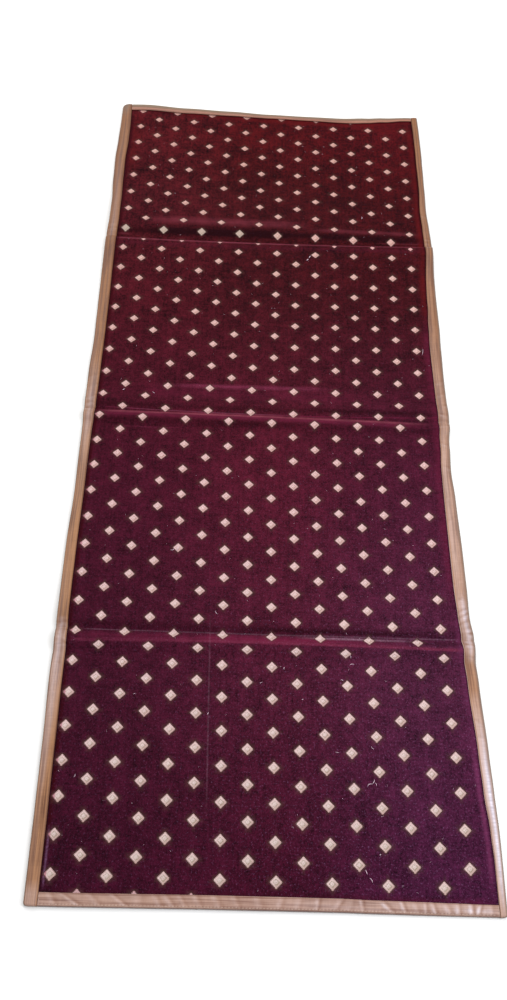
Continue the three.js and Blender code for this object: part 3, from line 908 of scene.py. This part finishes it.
def velvet_sheet(material):
    """Closed sheet: the pile with a recess for each diamond, the underside and the cut edge."""
    rows = row_places()
    outline = sheet_outline(rows)
    rings = recess_rings()
    inner = field_points(rows, np.mean(rings[0], axis=1), DIAMOND_HALF + RINGS[0]["out"] + 1.2)
    floor = recess_floor(rings[0])
    plan, triangles, numbers = fill_outline(outline, inner + floor, rings[0])
    motifs, around = rings[0].shape[:2]
    size = motifs * around
    loops = [numbers[-size:], len(plan) + np.arange(size), len(plan) + size + np.arange(size)]
    loops = [loop.reshape(motifs, around) for loop in loops]
    to_floor = dict(zip(loops[0].ravel().tolist(), loops[2].ravel().tolist()))
    faces = [t if hole < 0 else tuple(to_floor.get(v, v) for v in t) for t, hole in triangles]
    faces += walls(loops[0], loops[1]) + walls(loops[1], loops[2])
    flat = np.concatenate([plan] + [ring.reshape(-1, 2) for ring in rings[1:]])
    down = np.concatenate([np.zeros(len(plan))] + [np.full(size, ring["down"]) for ring in RINGS[1:]])
    on_floor = numbers[len(outline) + len(inner):-size]
    down[on_floor] = RECESS_DEPTH + FLOOR_SINK
    for crease in CREASES:
        down[on_floor] += 2 * FLOOR_SINK * bell(plan[on_floor, 1] - crease["along"], 5.0)
    top = place(*flat.T, top_height(*flat.T) - down)
    # Painted shade on the pile's edge and on the recess walls and floor round each diamond
    recess_shade = np.zeros(len(flat))
    recess_shade[loops[0].ravel()] = 0.3
    recess_shade[len(plan):] = recess_shade[on_floor] = 0.75

    coarse = [(x, a) for a in rows[3:-3:3] for x in sheet_columns(a)[3:-3:5]]
    under_plan, under_triangles, under_numbers = fill_outline(outline, coarse, np.empty((0, 4, 2)))
    swell = ease((inside_field(*under_plan.T) - SWELL_START) / (SWELL_END - SWELL_START))
    under = place(*under_plan.T, BORDER_UNDERSIDE * (1 - swell))
    faces += [tuple(v + len(top) for v in t[::-1]) for t, _ in under_triangles]
    edge = len(outline)
    faces += walls(numbers[:edge], under_numbers[:edge] + len(top), turned=True)
    piece = build_mesh("velvet", np.concatenate([top, under]), faces, material, 60)
    unseen = np.zeros(len(under))
    set_attribute(piece, "shade", np.concatenate([nap_shade(*flat.T), unseen]))
    set_attribute(piece, "recess_shade", np.concatenate([recess_shade, unseen]))
    every = np.concatenate([flat, under_plan]).T
    left, right, _, _ = edge_distances(*every)
    set_attribute(piece, "mat", *every, 0 * left)
    set_attribute(piece, "margins", left, right, 0 * left)
    return piece


# Woven diamonds, charted as rows of small raised cells
def diamond_chart():
    """Cells of one diamond as points and faces, closed underneath row by row."""
    steps = range(-DIAMOND_CELLS, DIAMOND_CELLS + 1)
    cells = [(c, r) for r in steps for c in steps if abs(c) + abs(r) <= DIAMOND_CELLS]
    corner_steps = ((-0.5, -0.5), (0.5, -0.5), (0.5, 0.5), (-0.5, 0.5))
    points, number, faces = [], {}, []
    for c, r in cells:
        for dx, dy in corner_steps:
            if (c + dx, r + dy) not in number:
                number[(c + dx, r + dy)] = len(points)
                points.append((c + dx, r + dy, 0.0))
    for c, r in cells:
        corners = [number[(c + dx, r + dy)] for dx, dy in corner_steps]
        faces += [(a, b, len(points)) for a, b in zip(corners, corners[1:] + corners[:1])]
        points.append((c, r, 1.0))
    tip = DIAMOND_CELLS + 0.5
    for r in range(1 - DIAMOND_CELLS, DIAMOND_CELLS):
        wide = DIAMOND_CELLS - abs(r) + 0.5
        low = [(x, r - 0.5) for x in (-wide, wide)]
        high = [(x, r + 0.5) for x in (wide, -wide)]
        near_tip = [(-0.5, -tip), (0.5, -tip)] if r == 1 - DIAMOND_CELLS else []
        far_tip = [(0.5, tip), (-0.5, tip)] if r == DIAMOND_CELLS - 1 else []
        if r <= 0:
            low[1:1] = [(1 - wide, r - 0.5)] + near_tip + [(wide - 1, r - 0.5)]
        if r >= 0:
            high[1:1] = [(wide - 1, r + 0.5)] + far_tip + [(1 - wide, r + 0.5)]
        faces.append(tuple(number[corner] for corner in (low + high)[::-1]))
    return np.array(points), faces


def woven_diamonds(material):
    """All diamonds as one joined mesh, each sunk a little into the floor of its recess."""
    chart, chart_faces = diamond_chart()
    cell = 2 * DIAMOND_HALF / (2 * DIAMOND_CELLS + 1)
    size, count = len(chart), len(MOTIFS)
    column, row = np.repeat(MOTIFS, size, axis=0).T
    aside, ahead, high = np.tile(chart, (count, 1)).T
    across, along = lattice_point(column, row, aside * cell, ahead * cell)
    base = top_height(across, along) - RECESS_DEPTH - WEAVE_SINK
    faces = [tuple(v + k * size for v in face) for k in range(count) for face in chart_faces]
    piece = build_mesh("woven_diamonds", place(across, along, base + WEAVE_HEIGHT * high), faces, material)
    set_attribute(piece, "ring", np.abs(aside) + np.abs(ahead))
    set_attribute(piece, "tone", np.repeat(np.random.default_rng(7).uniform(0, 1, count), size))
    set_attribute(piece, "mat", across, along, 0 * across)
    # Painted shade on each diamond's lower right side, a magenta tint on the first row and the left tips of
    # the leftmost column, and on the crease's rows painted shade on row 48 and a painted highlight on row 47
    lean = (ahead - aside) / DIAMOND_CELLS
    magenta_tint = np.where(row < 0, 0.3, np.where((column == 0) & (aside < -3.4), 0.55, 0.0))
    cool = 0.5 * (row == 48) * ease((60 - across) / 120) - 0.75 * (row == 47)
    set_attribute(piece, "lean", lean, magenta_tint, cool)
    return piece


# Binding strips
def strip_profile(width, crown):
    """Closed section of a folded strip as inset and height, and how far each point may pucker."""
    roof = BORDER_TOP + LAYER_GAP
    leg = roof + TAPE_THICKNESS
    top = []
    for t in np.linspace(0, 1, 11):
        hump = max(math.sin(math.pi * min(1.0, 0.12 + 0.88 * t) ** 0.9), 0) ** 0.7
        height = leg + 0.05 + (crown - leg) * hump
        top.append((width - 0.9 - t * (width - 2.1), height, math.sin(math.pi * t) ** 0.5))
    outside = [(0.55, leg - 0.75, 0.1), (0.15, leg - 1.7, 0), (0, 2.2, 0), (0.08, 0.9, 0), (0.6, 0.12, 0)]
    under = [(2.5, 0, 0), (width - 0.6, 0, 0), (width - 0.05, 0.25, 0), (width - 0.05, 0.75, 0)]
    slot = [(width - 0.5, 1, 0), (1.6, 1, 0), (1.05, 1.5, 0), (1.05, roof - 0.5, 0), (1.6, roof, 0)]
    lip = [(width - 0.7, roof, 0), (width - 0.15, roof + 0.12, 0.1), (width, roof + 0.45, 0.1)]
    return np.array(under + slot + lip + [(width - 0.25, leg - 0.15, 0.15)] + top + outside)


# Folds in the satin: puckers along the near strip, and crumples where the other strips fold.
# Their places along the strip, height, half width and lean along the strip per step inward.
FOLDS = {
    "left": {
        "at": (262, 290, 337, 346, 354, 366, 730, 741, 752, 765, 790, 812, 1140, 1150, 1162),
        "high": (0.25, 0.3, 0.45, 0.7, 0.55, 0.6, 0.4, 0.6, 0.55, 0.45, 0.35, 0.3, 0.5, 0.45, 0.3),
        "lean": (3.5, 3.5, -0.3, -0.2, 0.1, 0.1, -0.3, 0, 0.1, 0.3, 0.5, 0.4, 0, 0.2, 0.3),
    },
    "right": {
        "at": (218, 240, 352, 360, 368, 377, 386, 397, 406, 425, 455, 480, 560, 600, 655, 700, 735, 746,
               757, 775, 800, 825, 1133, 1144, 1152, 1215),
        "high": (0.3, 0.3, 0.7, 0.6, 0.8, 0.5, 0.9, 0.8, 0.6, 0.4, 0.5, 0.4, 0.4, 0.35, 0.4, 0.35, 0.45,
                 0.6, 0.55, 0.5, 0.4, 0.3, 0.6, 0.5, 0.4, 0.3),
        "lean": (0.5, 0.5, 0.1, 0.1, -0.2, -0.3, -0.6, -0.7, -0.6, -0.7, -1, -0.8, -0.8, -0.6, 0.4, 0.4,
                 0, 0, 0.2, -0.3, -0.4, -0.4, 0, 0, 0.2, 0.4),
    },
    "near": {
        "at": (-259, -237, -209, -179, -157, -133, -119, -103, -85, -62, -39, -12, 14, 36, 59, 83, 98,
               113, 143, 163, 178, 190, 200, 216, 229, 245, 255, 268),
        "high": (0.4, 0.75, 0.4, 0.7, 0.3, 0.35, 0.5, 0.35, 0.5, 0.4, 0.55, 0.3, 0.4, 0.3, 0.7, 0.6,
                 0.3, 0.7, 0.7, 0.7, 0.3, 0.5, 0.6, 0.35, 0.6, 0.9, 0.75, 0.4),
        "wide": (3, 3, 3.5, 3, 5, 3, 3, 2.5, 3, 3.5, 3, 4, 3, 3, 2.3, 3, 3, 2.3, 3.2, 2.3, 2.6, 2, 2.3,
                 3, 2.5, 2.6, 2, 3),
        "lean": (-0.6, -1.7, -1, -1.4, 0, -0.6, -0.8, -0.6, -0.5, -0.5, -0.4, -0.3, 0.3, 0.3, 0.2, 0.7,
                 0.3, -0.1, -0.9, -0.3, -0.3, 0, -0.3, -0.4, 0, 0, 0.3, 0),
    },
    "far": {"at": (-120, -40, 60, 190), "high": (0.3, 0.25, 0.3, 0.3), "lean": (0.5, 0.3, -0.4, -0.4)},
}
CRUMPLE_WIDTH = 2.4

# How light the satin shines along each strip, as painted highlights and painted reflections: on its outer
# half, on its inner half, on its inner edge, and the brightest highlight line along its middle
SHINE = {
    "left": {
        "run": (0, 14, 30, 130, 200, 310, 335, 365, 380, 560, 640, 730, 750, 800, 860, 1120, 1150, 1500),
        "outer": (0.5, 0.5, 0.1, 0.15, 0.6, 0.7, 0.6, 0.45, 0.1, 0.05, 0.1, 0.3, 0.35, 0.2, 0.1, 0, 0.05, 0),
        "inner": (0.4, 0.4, 0.05, 0, 0, 0.3, 0.5, 0.35, 0, 0, 0.1, 0.25, 0.3, 0.15, 0, 0, 0.1, 0),
        "edge": (0.3, 0, 0, 0, 0, 0, 0.2, 0.2, 0, 0.2, 0.35, 0.4, 0.3, 0.1, 0, 0, 0, 0),
        "bright": (0, 0, 0, 0, 0.1, 0.3, 0.4, 0.3, 0, 0, 0, 0.15, 0.2, 0.05, 0, 0, 0.1, 0),
    },
    "right": {
        "run": (0, 30, 60, 160, 215, 260, 290, 330, 345, 415, 440, 560, 700, 760, 900, 960, 1140, 1500),
        "outer": (0.4, 0.6, 0.8, 0.8, 0.6, 0.4, 0.1, 0.15, 0.5, 0.5, 0.25, 0.3, 0.25, 0.2, 0.1, 0.05,
                  0.05, 0),
        "inner": (0.5, 0.8, 1, 1, 0.8, 0.5, 0.1, 0.1, 0.5, 0.7, 0.45, 0.55, 0.45, 0.3, 0.15, 0.1, 0.1, 0),
        "edge": (0.7, 0.8, 0.9, 0.9, 0.9, 0.8, 0.7, 0.7, 0.8, 0.9, 0.8, 0.8, 0.7, 0.6, 0.5, 0.3, 0.1, 0),
        "bright": (0.1, 0.5, 1, 1, 0.4, 0.1, 0, 0, 0.4, 0.5, 0.1, 0.1, 0.05, 0.05, 0, 0, 0, 0),
    },
    "near": {
        "run": (-290, -200, -60, 0, 60, 140, 200, 235, 262, 275, 290),
        "outer": (0.2, 0.1, 0.1, 0.15, 0.25, 0.3, 0.3, 0.4, 0.5, 0.2, 0.1),
        "inner": (0.1, 0.15, 0.1, 0.15, 0.3, 0.35, 0.35, 0.4, 0.4, 0.1, 0),
        "edge": (0.3, 0.3, 0.3, 0.4, 0.6, 0.6, 0.6, 0.6, 0.5, 0.2, 0),
        "bright": (0, 0, 0, 0, 0.05, 0.1, 0.1, 0.25, 0.4, 0.1, 0),
    },
    "far": {
        "run": (-290, 0, 290), "outer": (0, 0, 0), "inner": (0.12, 0.1, 0.05),
        "edge": (0.1, 0.1, 0), "bright": (0, 0, 0),
    },
}
FAR_CORNER_SHADE = 1455.0
END_ROUND = 1.6
END_ROUND_HEIGHT = 2.6
STITCH = {"pitch": 4.2, "length": 3.0, "thick": 0.5, "inset": 2.0, "start": -270.0}


def fold_height(name, run, from_middle):
    """Height of the folds at places along a strip, each with a hollow on its far side."""
    rows = FOLDS[name]
    wides = rows.get("wide", [CRUMPLE_WIDTH] * len(rows["at"]))
    high = 0.0
    for at, top, lean, wide in zip(rows["at"], rows["high"], rows["lean"], wides):
        past = run - at - lean * from_middle
        high = high + top * bell(past, wide) - 0.45 * top * bell(past - 1.9 * wide, wide)
    return high


def shine_of(name, run, share):
    """Painted highlights of the satin, pale and bright, at a place along a strip and a share of its width.
    """
    outer, inner, edge, bright = columns_at(SHINE[name], "run", "outer inner edge bright", run)
    side = ease((share - 0.3) / 0.3)
    pale = np.maximum(outer * (1 - side) + inner * side, edge * ease((share - 0.84) / 0.06))
    return pale * ease(share / 0.06), bright * bell(share - 0.45, 0.2)


def strip_rings(name):
    """Distances along a strip at which it has a section, or shares of it for an end strip."""
    step = STRIPS[name]["step"]
    if name not in SIDES:
        return np.linspace(0, 1, int(2 * HALF_WIDTH / step))
    radius = CORNER_RADIUS[name]
    ends = np.array([0, 0.5, 1.2, 2.2])
    places = [ends, MAT_LENGTH - ends, np.linspace(0, radius["near"], 5)]
    places += [MAT_LENGTH - np.linspace(0, radius["far"], 8)]
    places += [crease["along"] + np.arange(-40, 48.1, 1.6) for crease in CREASES]
    return filled(sorted(set(np.round(np.concatenate(places), 3))), 0.3, step)


def strip_place(name, value, inset):
    """Across, along, run and distance to the nearer end of the points of one section."""
    if name in SIDES:
        along = np.full(len(inset), value)
        across = np.array([float(side_line(name, value, i, 0)) for i in widen(name, inset, along)])
        return across, along, along, np.minimum(along, MAT_LENGTH - along)
    along = inset if name == "near" else MAT_LENGTH - inset
    for _ in range(2):
        left, right = (side_line(side, along, strip_width(side, along) + SEAM_GAP, 0) for side in SIDES)
        across = left + (right - left) * value
        wide = widen(name, inset, across)
        along = wide if name == "near" else MAT_LENGTH - wide
    return across, along, across, np.minimum(value, 1 - value) * (right - left)


def binding(name, material):
    """Closed mesh of one strip, painted by attributes with painted highlights, painted shade, a grey edge
    and stitch holes.
    """
    strip = STRIPS[name]
    inset, height, soft = strip_profile(strip["width"], strip["crown"]).T
    share, seen, around = inset / strip["width"], soft > 0.05, len(inset)
    wave = Unevenness(20 + len(name), 5.5, 45.0)
    ripple = Unevenness(40 + len(name), 6.0, 7.0)
    points, uv, paint = [], [], []
    for value in strip_rings(name):
        across, along, run, ends = strip_place(name, value, inset)
        bumps = fold_height(name, run, inset - strip["width"] / 2)
        if name != "near":
            bumps = bumps * (0.55 + 0.75 * ripple(inset * 0.9 + 3, run * 0.8))
        rough = 0.3 * wave(inset, run) + strip["ripple"] * ripple(inset, run)
        up = height + soft * (bumps + rough) * ease(ends / 6.0 + 0.2)
        pale, bright = shine_of(name, run, share)
        # lip is painted shade on the strip's inner lip
        hole, lip = np.zeros(around), 0.6 * (share > 0.985)
        grey = ease((strip["grey_end"] - share) / strip["grey_soft"])
        if name == "near":
            line = bell(inset - STITCH["inset"], 1.1) * seen
            turns = (run - STITCH["start"]) / STITCH["pitch"]
            hole = line * (0.5 + 0.5 * np.cos(2 * np.pi * turns)) ** 4
            up = up - 0.12 * line - 0.3 * hole
        if name in SIDES:
            squeeze = 1 - 0.45 * (1 - ease(ends / END_ROUND)) ** 2
            up = END_ROUND_HEIGHT + (up - END_ROUND_HEIGHT) * squeeze
        # Painted shade on the left strip's inner lip and at its far corner
        if name == "left":
            lip = lip + 0.4 * ease((share - 0.82) / 0.16)
            far_corner = 0.7 * ease((run - FAR_CORNER_SHADE) / 45) * ease((0.95 - share) / 0.5)
            grey = np.maximum(grey, far_corner)
        lit = bumps * (0.7 + 0.5 * ripple(inset * 1.7, run * 0.6))
        dark = 0.5 * bell(share - strip["dark_line"], 0.07) * (1 - 0.6 * pale)
        points.append(place(across, along, up))
        uv.append(np.stack([run, inset], 1))
        paint.append({
            "outer": grey,
            # painted highlights, with painted shine on the folds
            "pale": np.clip(pale + strip["fold_shine"] * lit, 0, 1) * seen,
            "bright": np.clip(bright + 0.4 * (lit - 0.3) * (pale > 0.3), 0, 1) * seen,
            # the dark line, with painted shade in the folds' hollows and on the inner lip
            "deep": np.clip(dark - 1.1 * np.minimum(bumps, 0) + lip * (1 - pale), 0, 1),
            "holes": hole,
        })
    loops = np.arange(len(points) * around).reshape(-1, around)
    if name in ("right", "near"):
        faces = walls(loops[1:], loops[:-1]) + [loops[0].tolist(), loops[-1][::-1].tolist()]
    else:
        faces = walls(loops[:-1], loops[1:]) + [loops[0][::-1].tolist(), loops[-1].tolist()]
    piece = build_mesh("binding_" + name + "_satin", np.concatenate(points), faces, material, 50)
    for key in paint[0]:
        set_attribute(piece, key, np.concatenate([values[key] for values in paint]))
    index = np.empty(len(piece.data.loops), np.int32)
    piece.data.loops.foreach_get("vertex_index", index)
    flat_uv = (np.concatenate(uv) * MM)[index].astype(np.float32)
    piece.data.uv_layers.new(name="strip").data.foreach_set("uv", flat_uv.ravel())
    return piece


# Stitches and lint
def thread_mesh(name, threads, sides, material):
    """Short threads as one mesh, each given by its centres, its radii and its sideways step."""
    turn = 2 * np.pi * np.arange(sides) / sides
    points, faces = [], []
    for centres, radii, side in threads:
        loops = len(points) + np.arange(len(centres) * sides).reshape(-1, sides)
        rim = np.stack([side[0] * np.cos(turn), side[1] * np.cos(turn), np.sin(turn)], axis=1)
        for centre, radius in zip(centres, radii):
            points += (centre + radius * rim).tolist()
        faces += walls(loops[:-1], loops[1:], turned=True) + [loops[0].tolist(), loops[-1][::-1].tolist()]
    return build_mesh(name, points, faces, material)


# A stitch is a spindle: stations along it, their shares of its thickness and how high they stand
STITCH_STATIONS = {
    "run": (-0.5, -0.36, 0.0, 0.36, 0.5),
    "thick": (0.15, 0.8, 1.0, 0.8, 0.15),
    "up": (-0.25, 0.0, 0.12, 0.0, -0.25),
}
STITCH_FLATNESS = 1.3


def stitches(pieces, material):
    """Stitches of the near strip and of the corner seams, laid on the strips' puckers."""
    places = []
    for x in np.arange(STITCH["start"] + STITCH["pitch"] / 2, HALF_WIDTH - 12, STITCH["pitch"]):
        places.append(("near", [x, x + 1], [STITCH["inset"]] * 2, 0.08))
    for side, sign in zip(SIDES, (-1, 1)):
        for end in ("near", "far"):
            for along in np.arange(2.6, strip_width(end, sign * HALF_WIDTH) - 1.5, STITCH["pitch"]):
                a = along if end == "near" else MAT_LENGTH - along
                x = float(side_line(side, a, float(strip_width(side, a)) + SEAM_GAP + 1.0, 0))
                places.append((end, [x, x], [a, a + 1], 0.06))
    trees = {}
    for end in ("near", "far"):
        mesh = pieces[end].data
        trees[end] = BVHTree.FromPolygons([v.co for v in mesh.vertices], [p.vertices for p in mesh.polygons])
    run, thick, up = (np.array(column) for column in STITCH_STATIONS.values())
    threads = []
    for end, across, along, clear in places:
        start, after = place(across, along, 0)
        hit = trees[end].ray_cast(Vector((start[0] * MM, start[1] * MM, 0.1)), Vector((0, 0, -1)))[0]
        if hit is not None:
            dx, dy = (after - start)[:2] / np.linalg.norm((after - start)[:2])
            length = run * STITCH["length"]
            z = hit.z / MM + clear + up * STITCH["thick"]
            centres = np.stack([start[0] + dx * length, start[1] + dy * length, z], axis=1)
            side = (-dy * STITCH_FLATNESS, dx * STITCH_FLATNESS)
            threads.append((centres, STITCH["thick"] / 2 * thick, side))
    return thread_mesh("edge_stitches", threads, 6, material)


# Lint and loose thread ends that the photo shows: place, length, turn in degrees and thickness
LINT = (
    (-132, 498, 7, 70, 0.8), (-139, 496, 6, 20, 0.8), (-73, 393, 6, 120, 0.7), (-178, 272, 3, 15, 0.7),
    (-79, 247, 3.5, 60, 0.9), (115, 324, 6, 10, 0.8), (114, 334, 4, 100, 0.7), (101, 300, 4, 160, 0.8),
    (22, 315, 4, 80, 0.8), (47, 270, 2.5, 30, 0.8), (67, 1096, 5, 50, 1.5), (71, 1103, 5, 60, 1.5),
    (169, 1208, 6, 80, 1.1), (-233, 789, 4, 50, 1.3), (-185, 785, 5, 140, 0.8), (-9, 293, 4, 35, 0.6),
    (-245, 159, 4, 75, 0.7), (131, 157, 7, 25, 0.9), (137, 160, 6, 60, 0.9), (140, 157, 4, 110, 0.8),
    (137, 205, 5, 130, 0.6), (91, 198, 5, 170, 0.5), (122, 48, 5, 110, 1.0), (128, 39, 6, 120, 0.8),
    (140, 69, 2.5, 60, 0.9), (257, 894, 14, 80, 0.6),
)
SPECKS = 260
SPECK_RANGES = {
    "across": (-268, 268), "along": (22, 1480), "length": (0.8, 3.2), "turn": (0, 180),
    "thick": (0.16, 0.34),
}


def lint(material):
    """Lint, and finer specks scattered over the whole mat."""
    draw = np.random.default_rng(31)
    specks = [tuple(draw.uniform(*ends) for ends in SPECK_RANGES.values()) for _ in range(SPECKS)]
    t = np.linspace(-0.5, 0.5, 6)
    threads = []
    for across, along, length, turn, thick in LINT + tuple(specks):
        bend = draw.uniform(-0.5, 0.5) * length * 2 * t ** 2
        dx, dy = math.cos(math.radians(turn)), math.sin(math.radians(turn))
        across = across + t * length * dx - bend * dy
        along = along + t * length * dy + bend * dx
        centres = place(across, along, top_height(across, along) + 0.1 + 0.6 * thick)
        threads.append((centres, thick / 2 * (1.05 - 1.2 * np.abs(t)), (-dy, dx)))
    return thread_mesh("lint", threads, 5, material)


# Camera, floor and lights
CAMERA = {"place": (-0.0641, -1.0383, 1.3207), "tilt": 33.41, "heading": -2.761, "roll": 4.09}
FOCAL_PIXELS = 1050.0
PHOTO_HEIGHT = 1000.0
SENSOR = 36.0
FLOOR_HALF = 6.0
FLOOR_DROP = 0.0002
SKY_LIGHT = 0.75
LIGHTS = table(
    "name place target size power colour",
    ("window", (1.4, -0.6, 1.6), (0, 0.1, 0), (1.2, 1.6), 28, (0.95, 0.97, 1.0)),
    ("ceiling", (-0.6, 1.6, 2.4), (0, 0.2, 0), (2.4, 1.6), 40, (1.0, 0.97, 0.93)),
)


def make_camera():
    data = bpy.data.cameras.new("camera")
    data.sensor_fit = "VERTICAL"
    data.sensor_height = SENSOR
    data.lens = SENSOR * FOCAL_PIXELS / PHOTO_HEIGHT
    data.clip_end = 20
    camera = link("camera", data)
    turn = Matrix()
    for key, axis in (("heading", "Z"), ("tilt", "X"), ("roll", "Z")):
        turn = turn @ Matrix.Rotation(math.radians(CAMERA[key]), 4, axis)
    camera.matrix_world = Matrix.Translation(CAMERA["place"]) @ turn
    bpy.context.scene.camera = camera


def make_stage():
    n = Nodes("pale_floor")
    grain = n.noise(n.add("TexCoord", output="Object"), (3, 3, 3), 2.0, 0.5)
    material = n.finish(n.mix(grain, (0.86, 0.86, 0.86, 1), (0.9, 0.9, 0.9, 1)), 0.9, None)
    mesh = bpy.data.meshes.new("floor")
    corners = [(x * FLOOR_HALF, y * FLOOR_HALF, 0) for x, y in ((-1, -1), (1, -1), (1, 1), (-1, 1))]
    mesh.from_pydata(corners, [], [(0, 1, 2, 3)])
    mesh.materials.append(material)
    floor = link("floor", mesh)
    floor.location.z = -FLOOR_DROP
    world = bpy.data.worlds.new("studio")
    world.use_nodes = True
    colour, strength = world.node_tree.nodes["Background"].inputs[:2]
    colour.default_value, strength.default_value = (1, 1, 1, 1), SKY_LIGHT
    bpy.context.scene.world = world
    for row in LIGHTS:
        data = bpy.data.lights.new(row["name"], "AREA")
        data.shape = "RECTANGLE"
        data.size, data.size_y = row["size"]
        data.energy, data.color = row["power"], row["colour"]
        light = link(row["name"], data)
        light.location = row["place"]
        towards = Vector(row["target"]) - Vector(row["place"])
        light.rotation_euler = towards.to_track_quat("-Z", "Y").to_euler()
    bpy.context.scene.view_settings.view_transform = "Standard"


make_camera()
make_stage()
velvet = velvet_sheet(velvet_material())
diamonds = woven_diamonds(motif_material())
satins = {name: satin_material(name) for name in SATIN}
bindings = {name: binding(name, satins[strip["satin"]]) for name, strip in STRIPS.items()}
thread = stitches(bindings, thread_material("sewing_thread", rgb(196, 172, 160), rgb(150, 122, 110)))
fluff = lint(thread_material("lint_fibre", rgb(232, 208, 220), rgb(196, 160, 184)))

for name, piece in bindings.items():
    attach(piece, "root")
    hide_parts("binding_" + name)
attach(velvet, "root")
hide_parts("velvet_panel")
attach(diamonds, "root")
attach(thread, "root")
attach(fluff, "root")
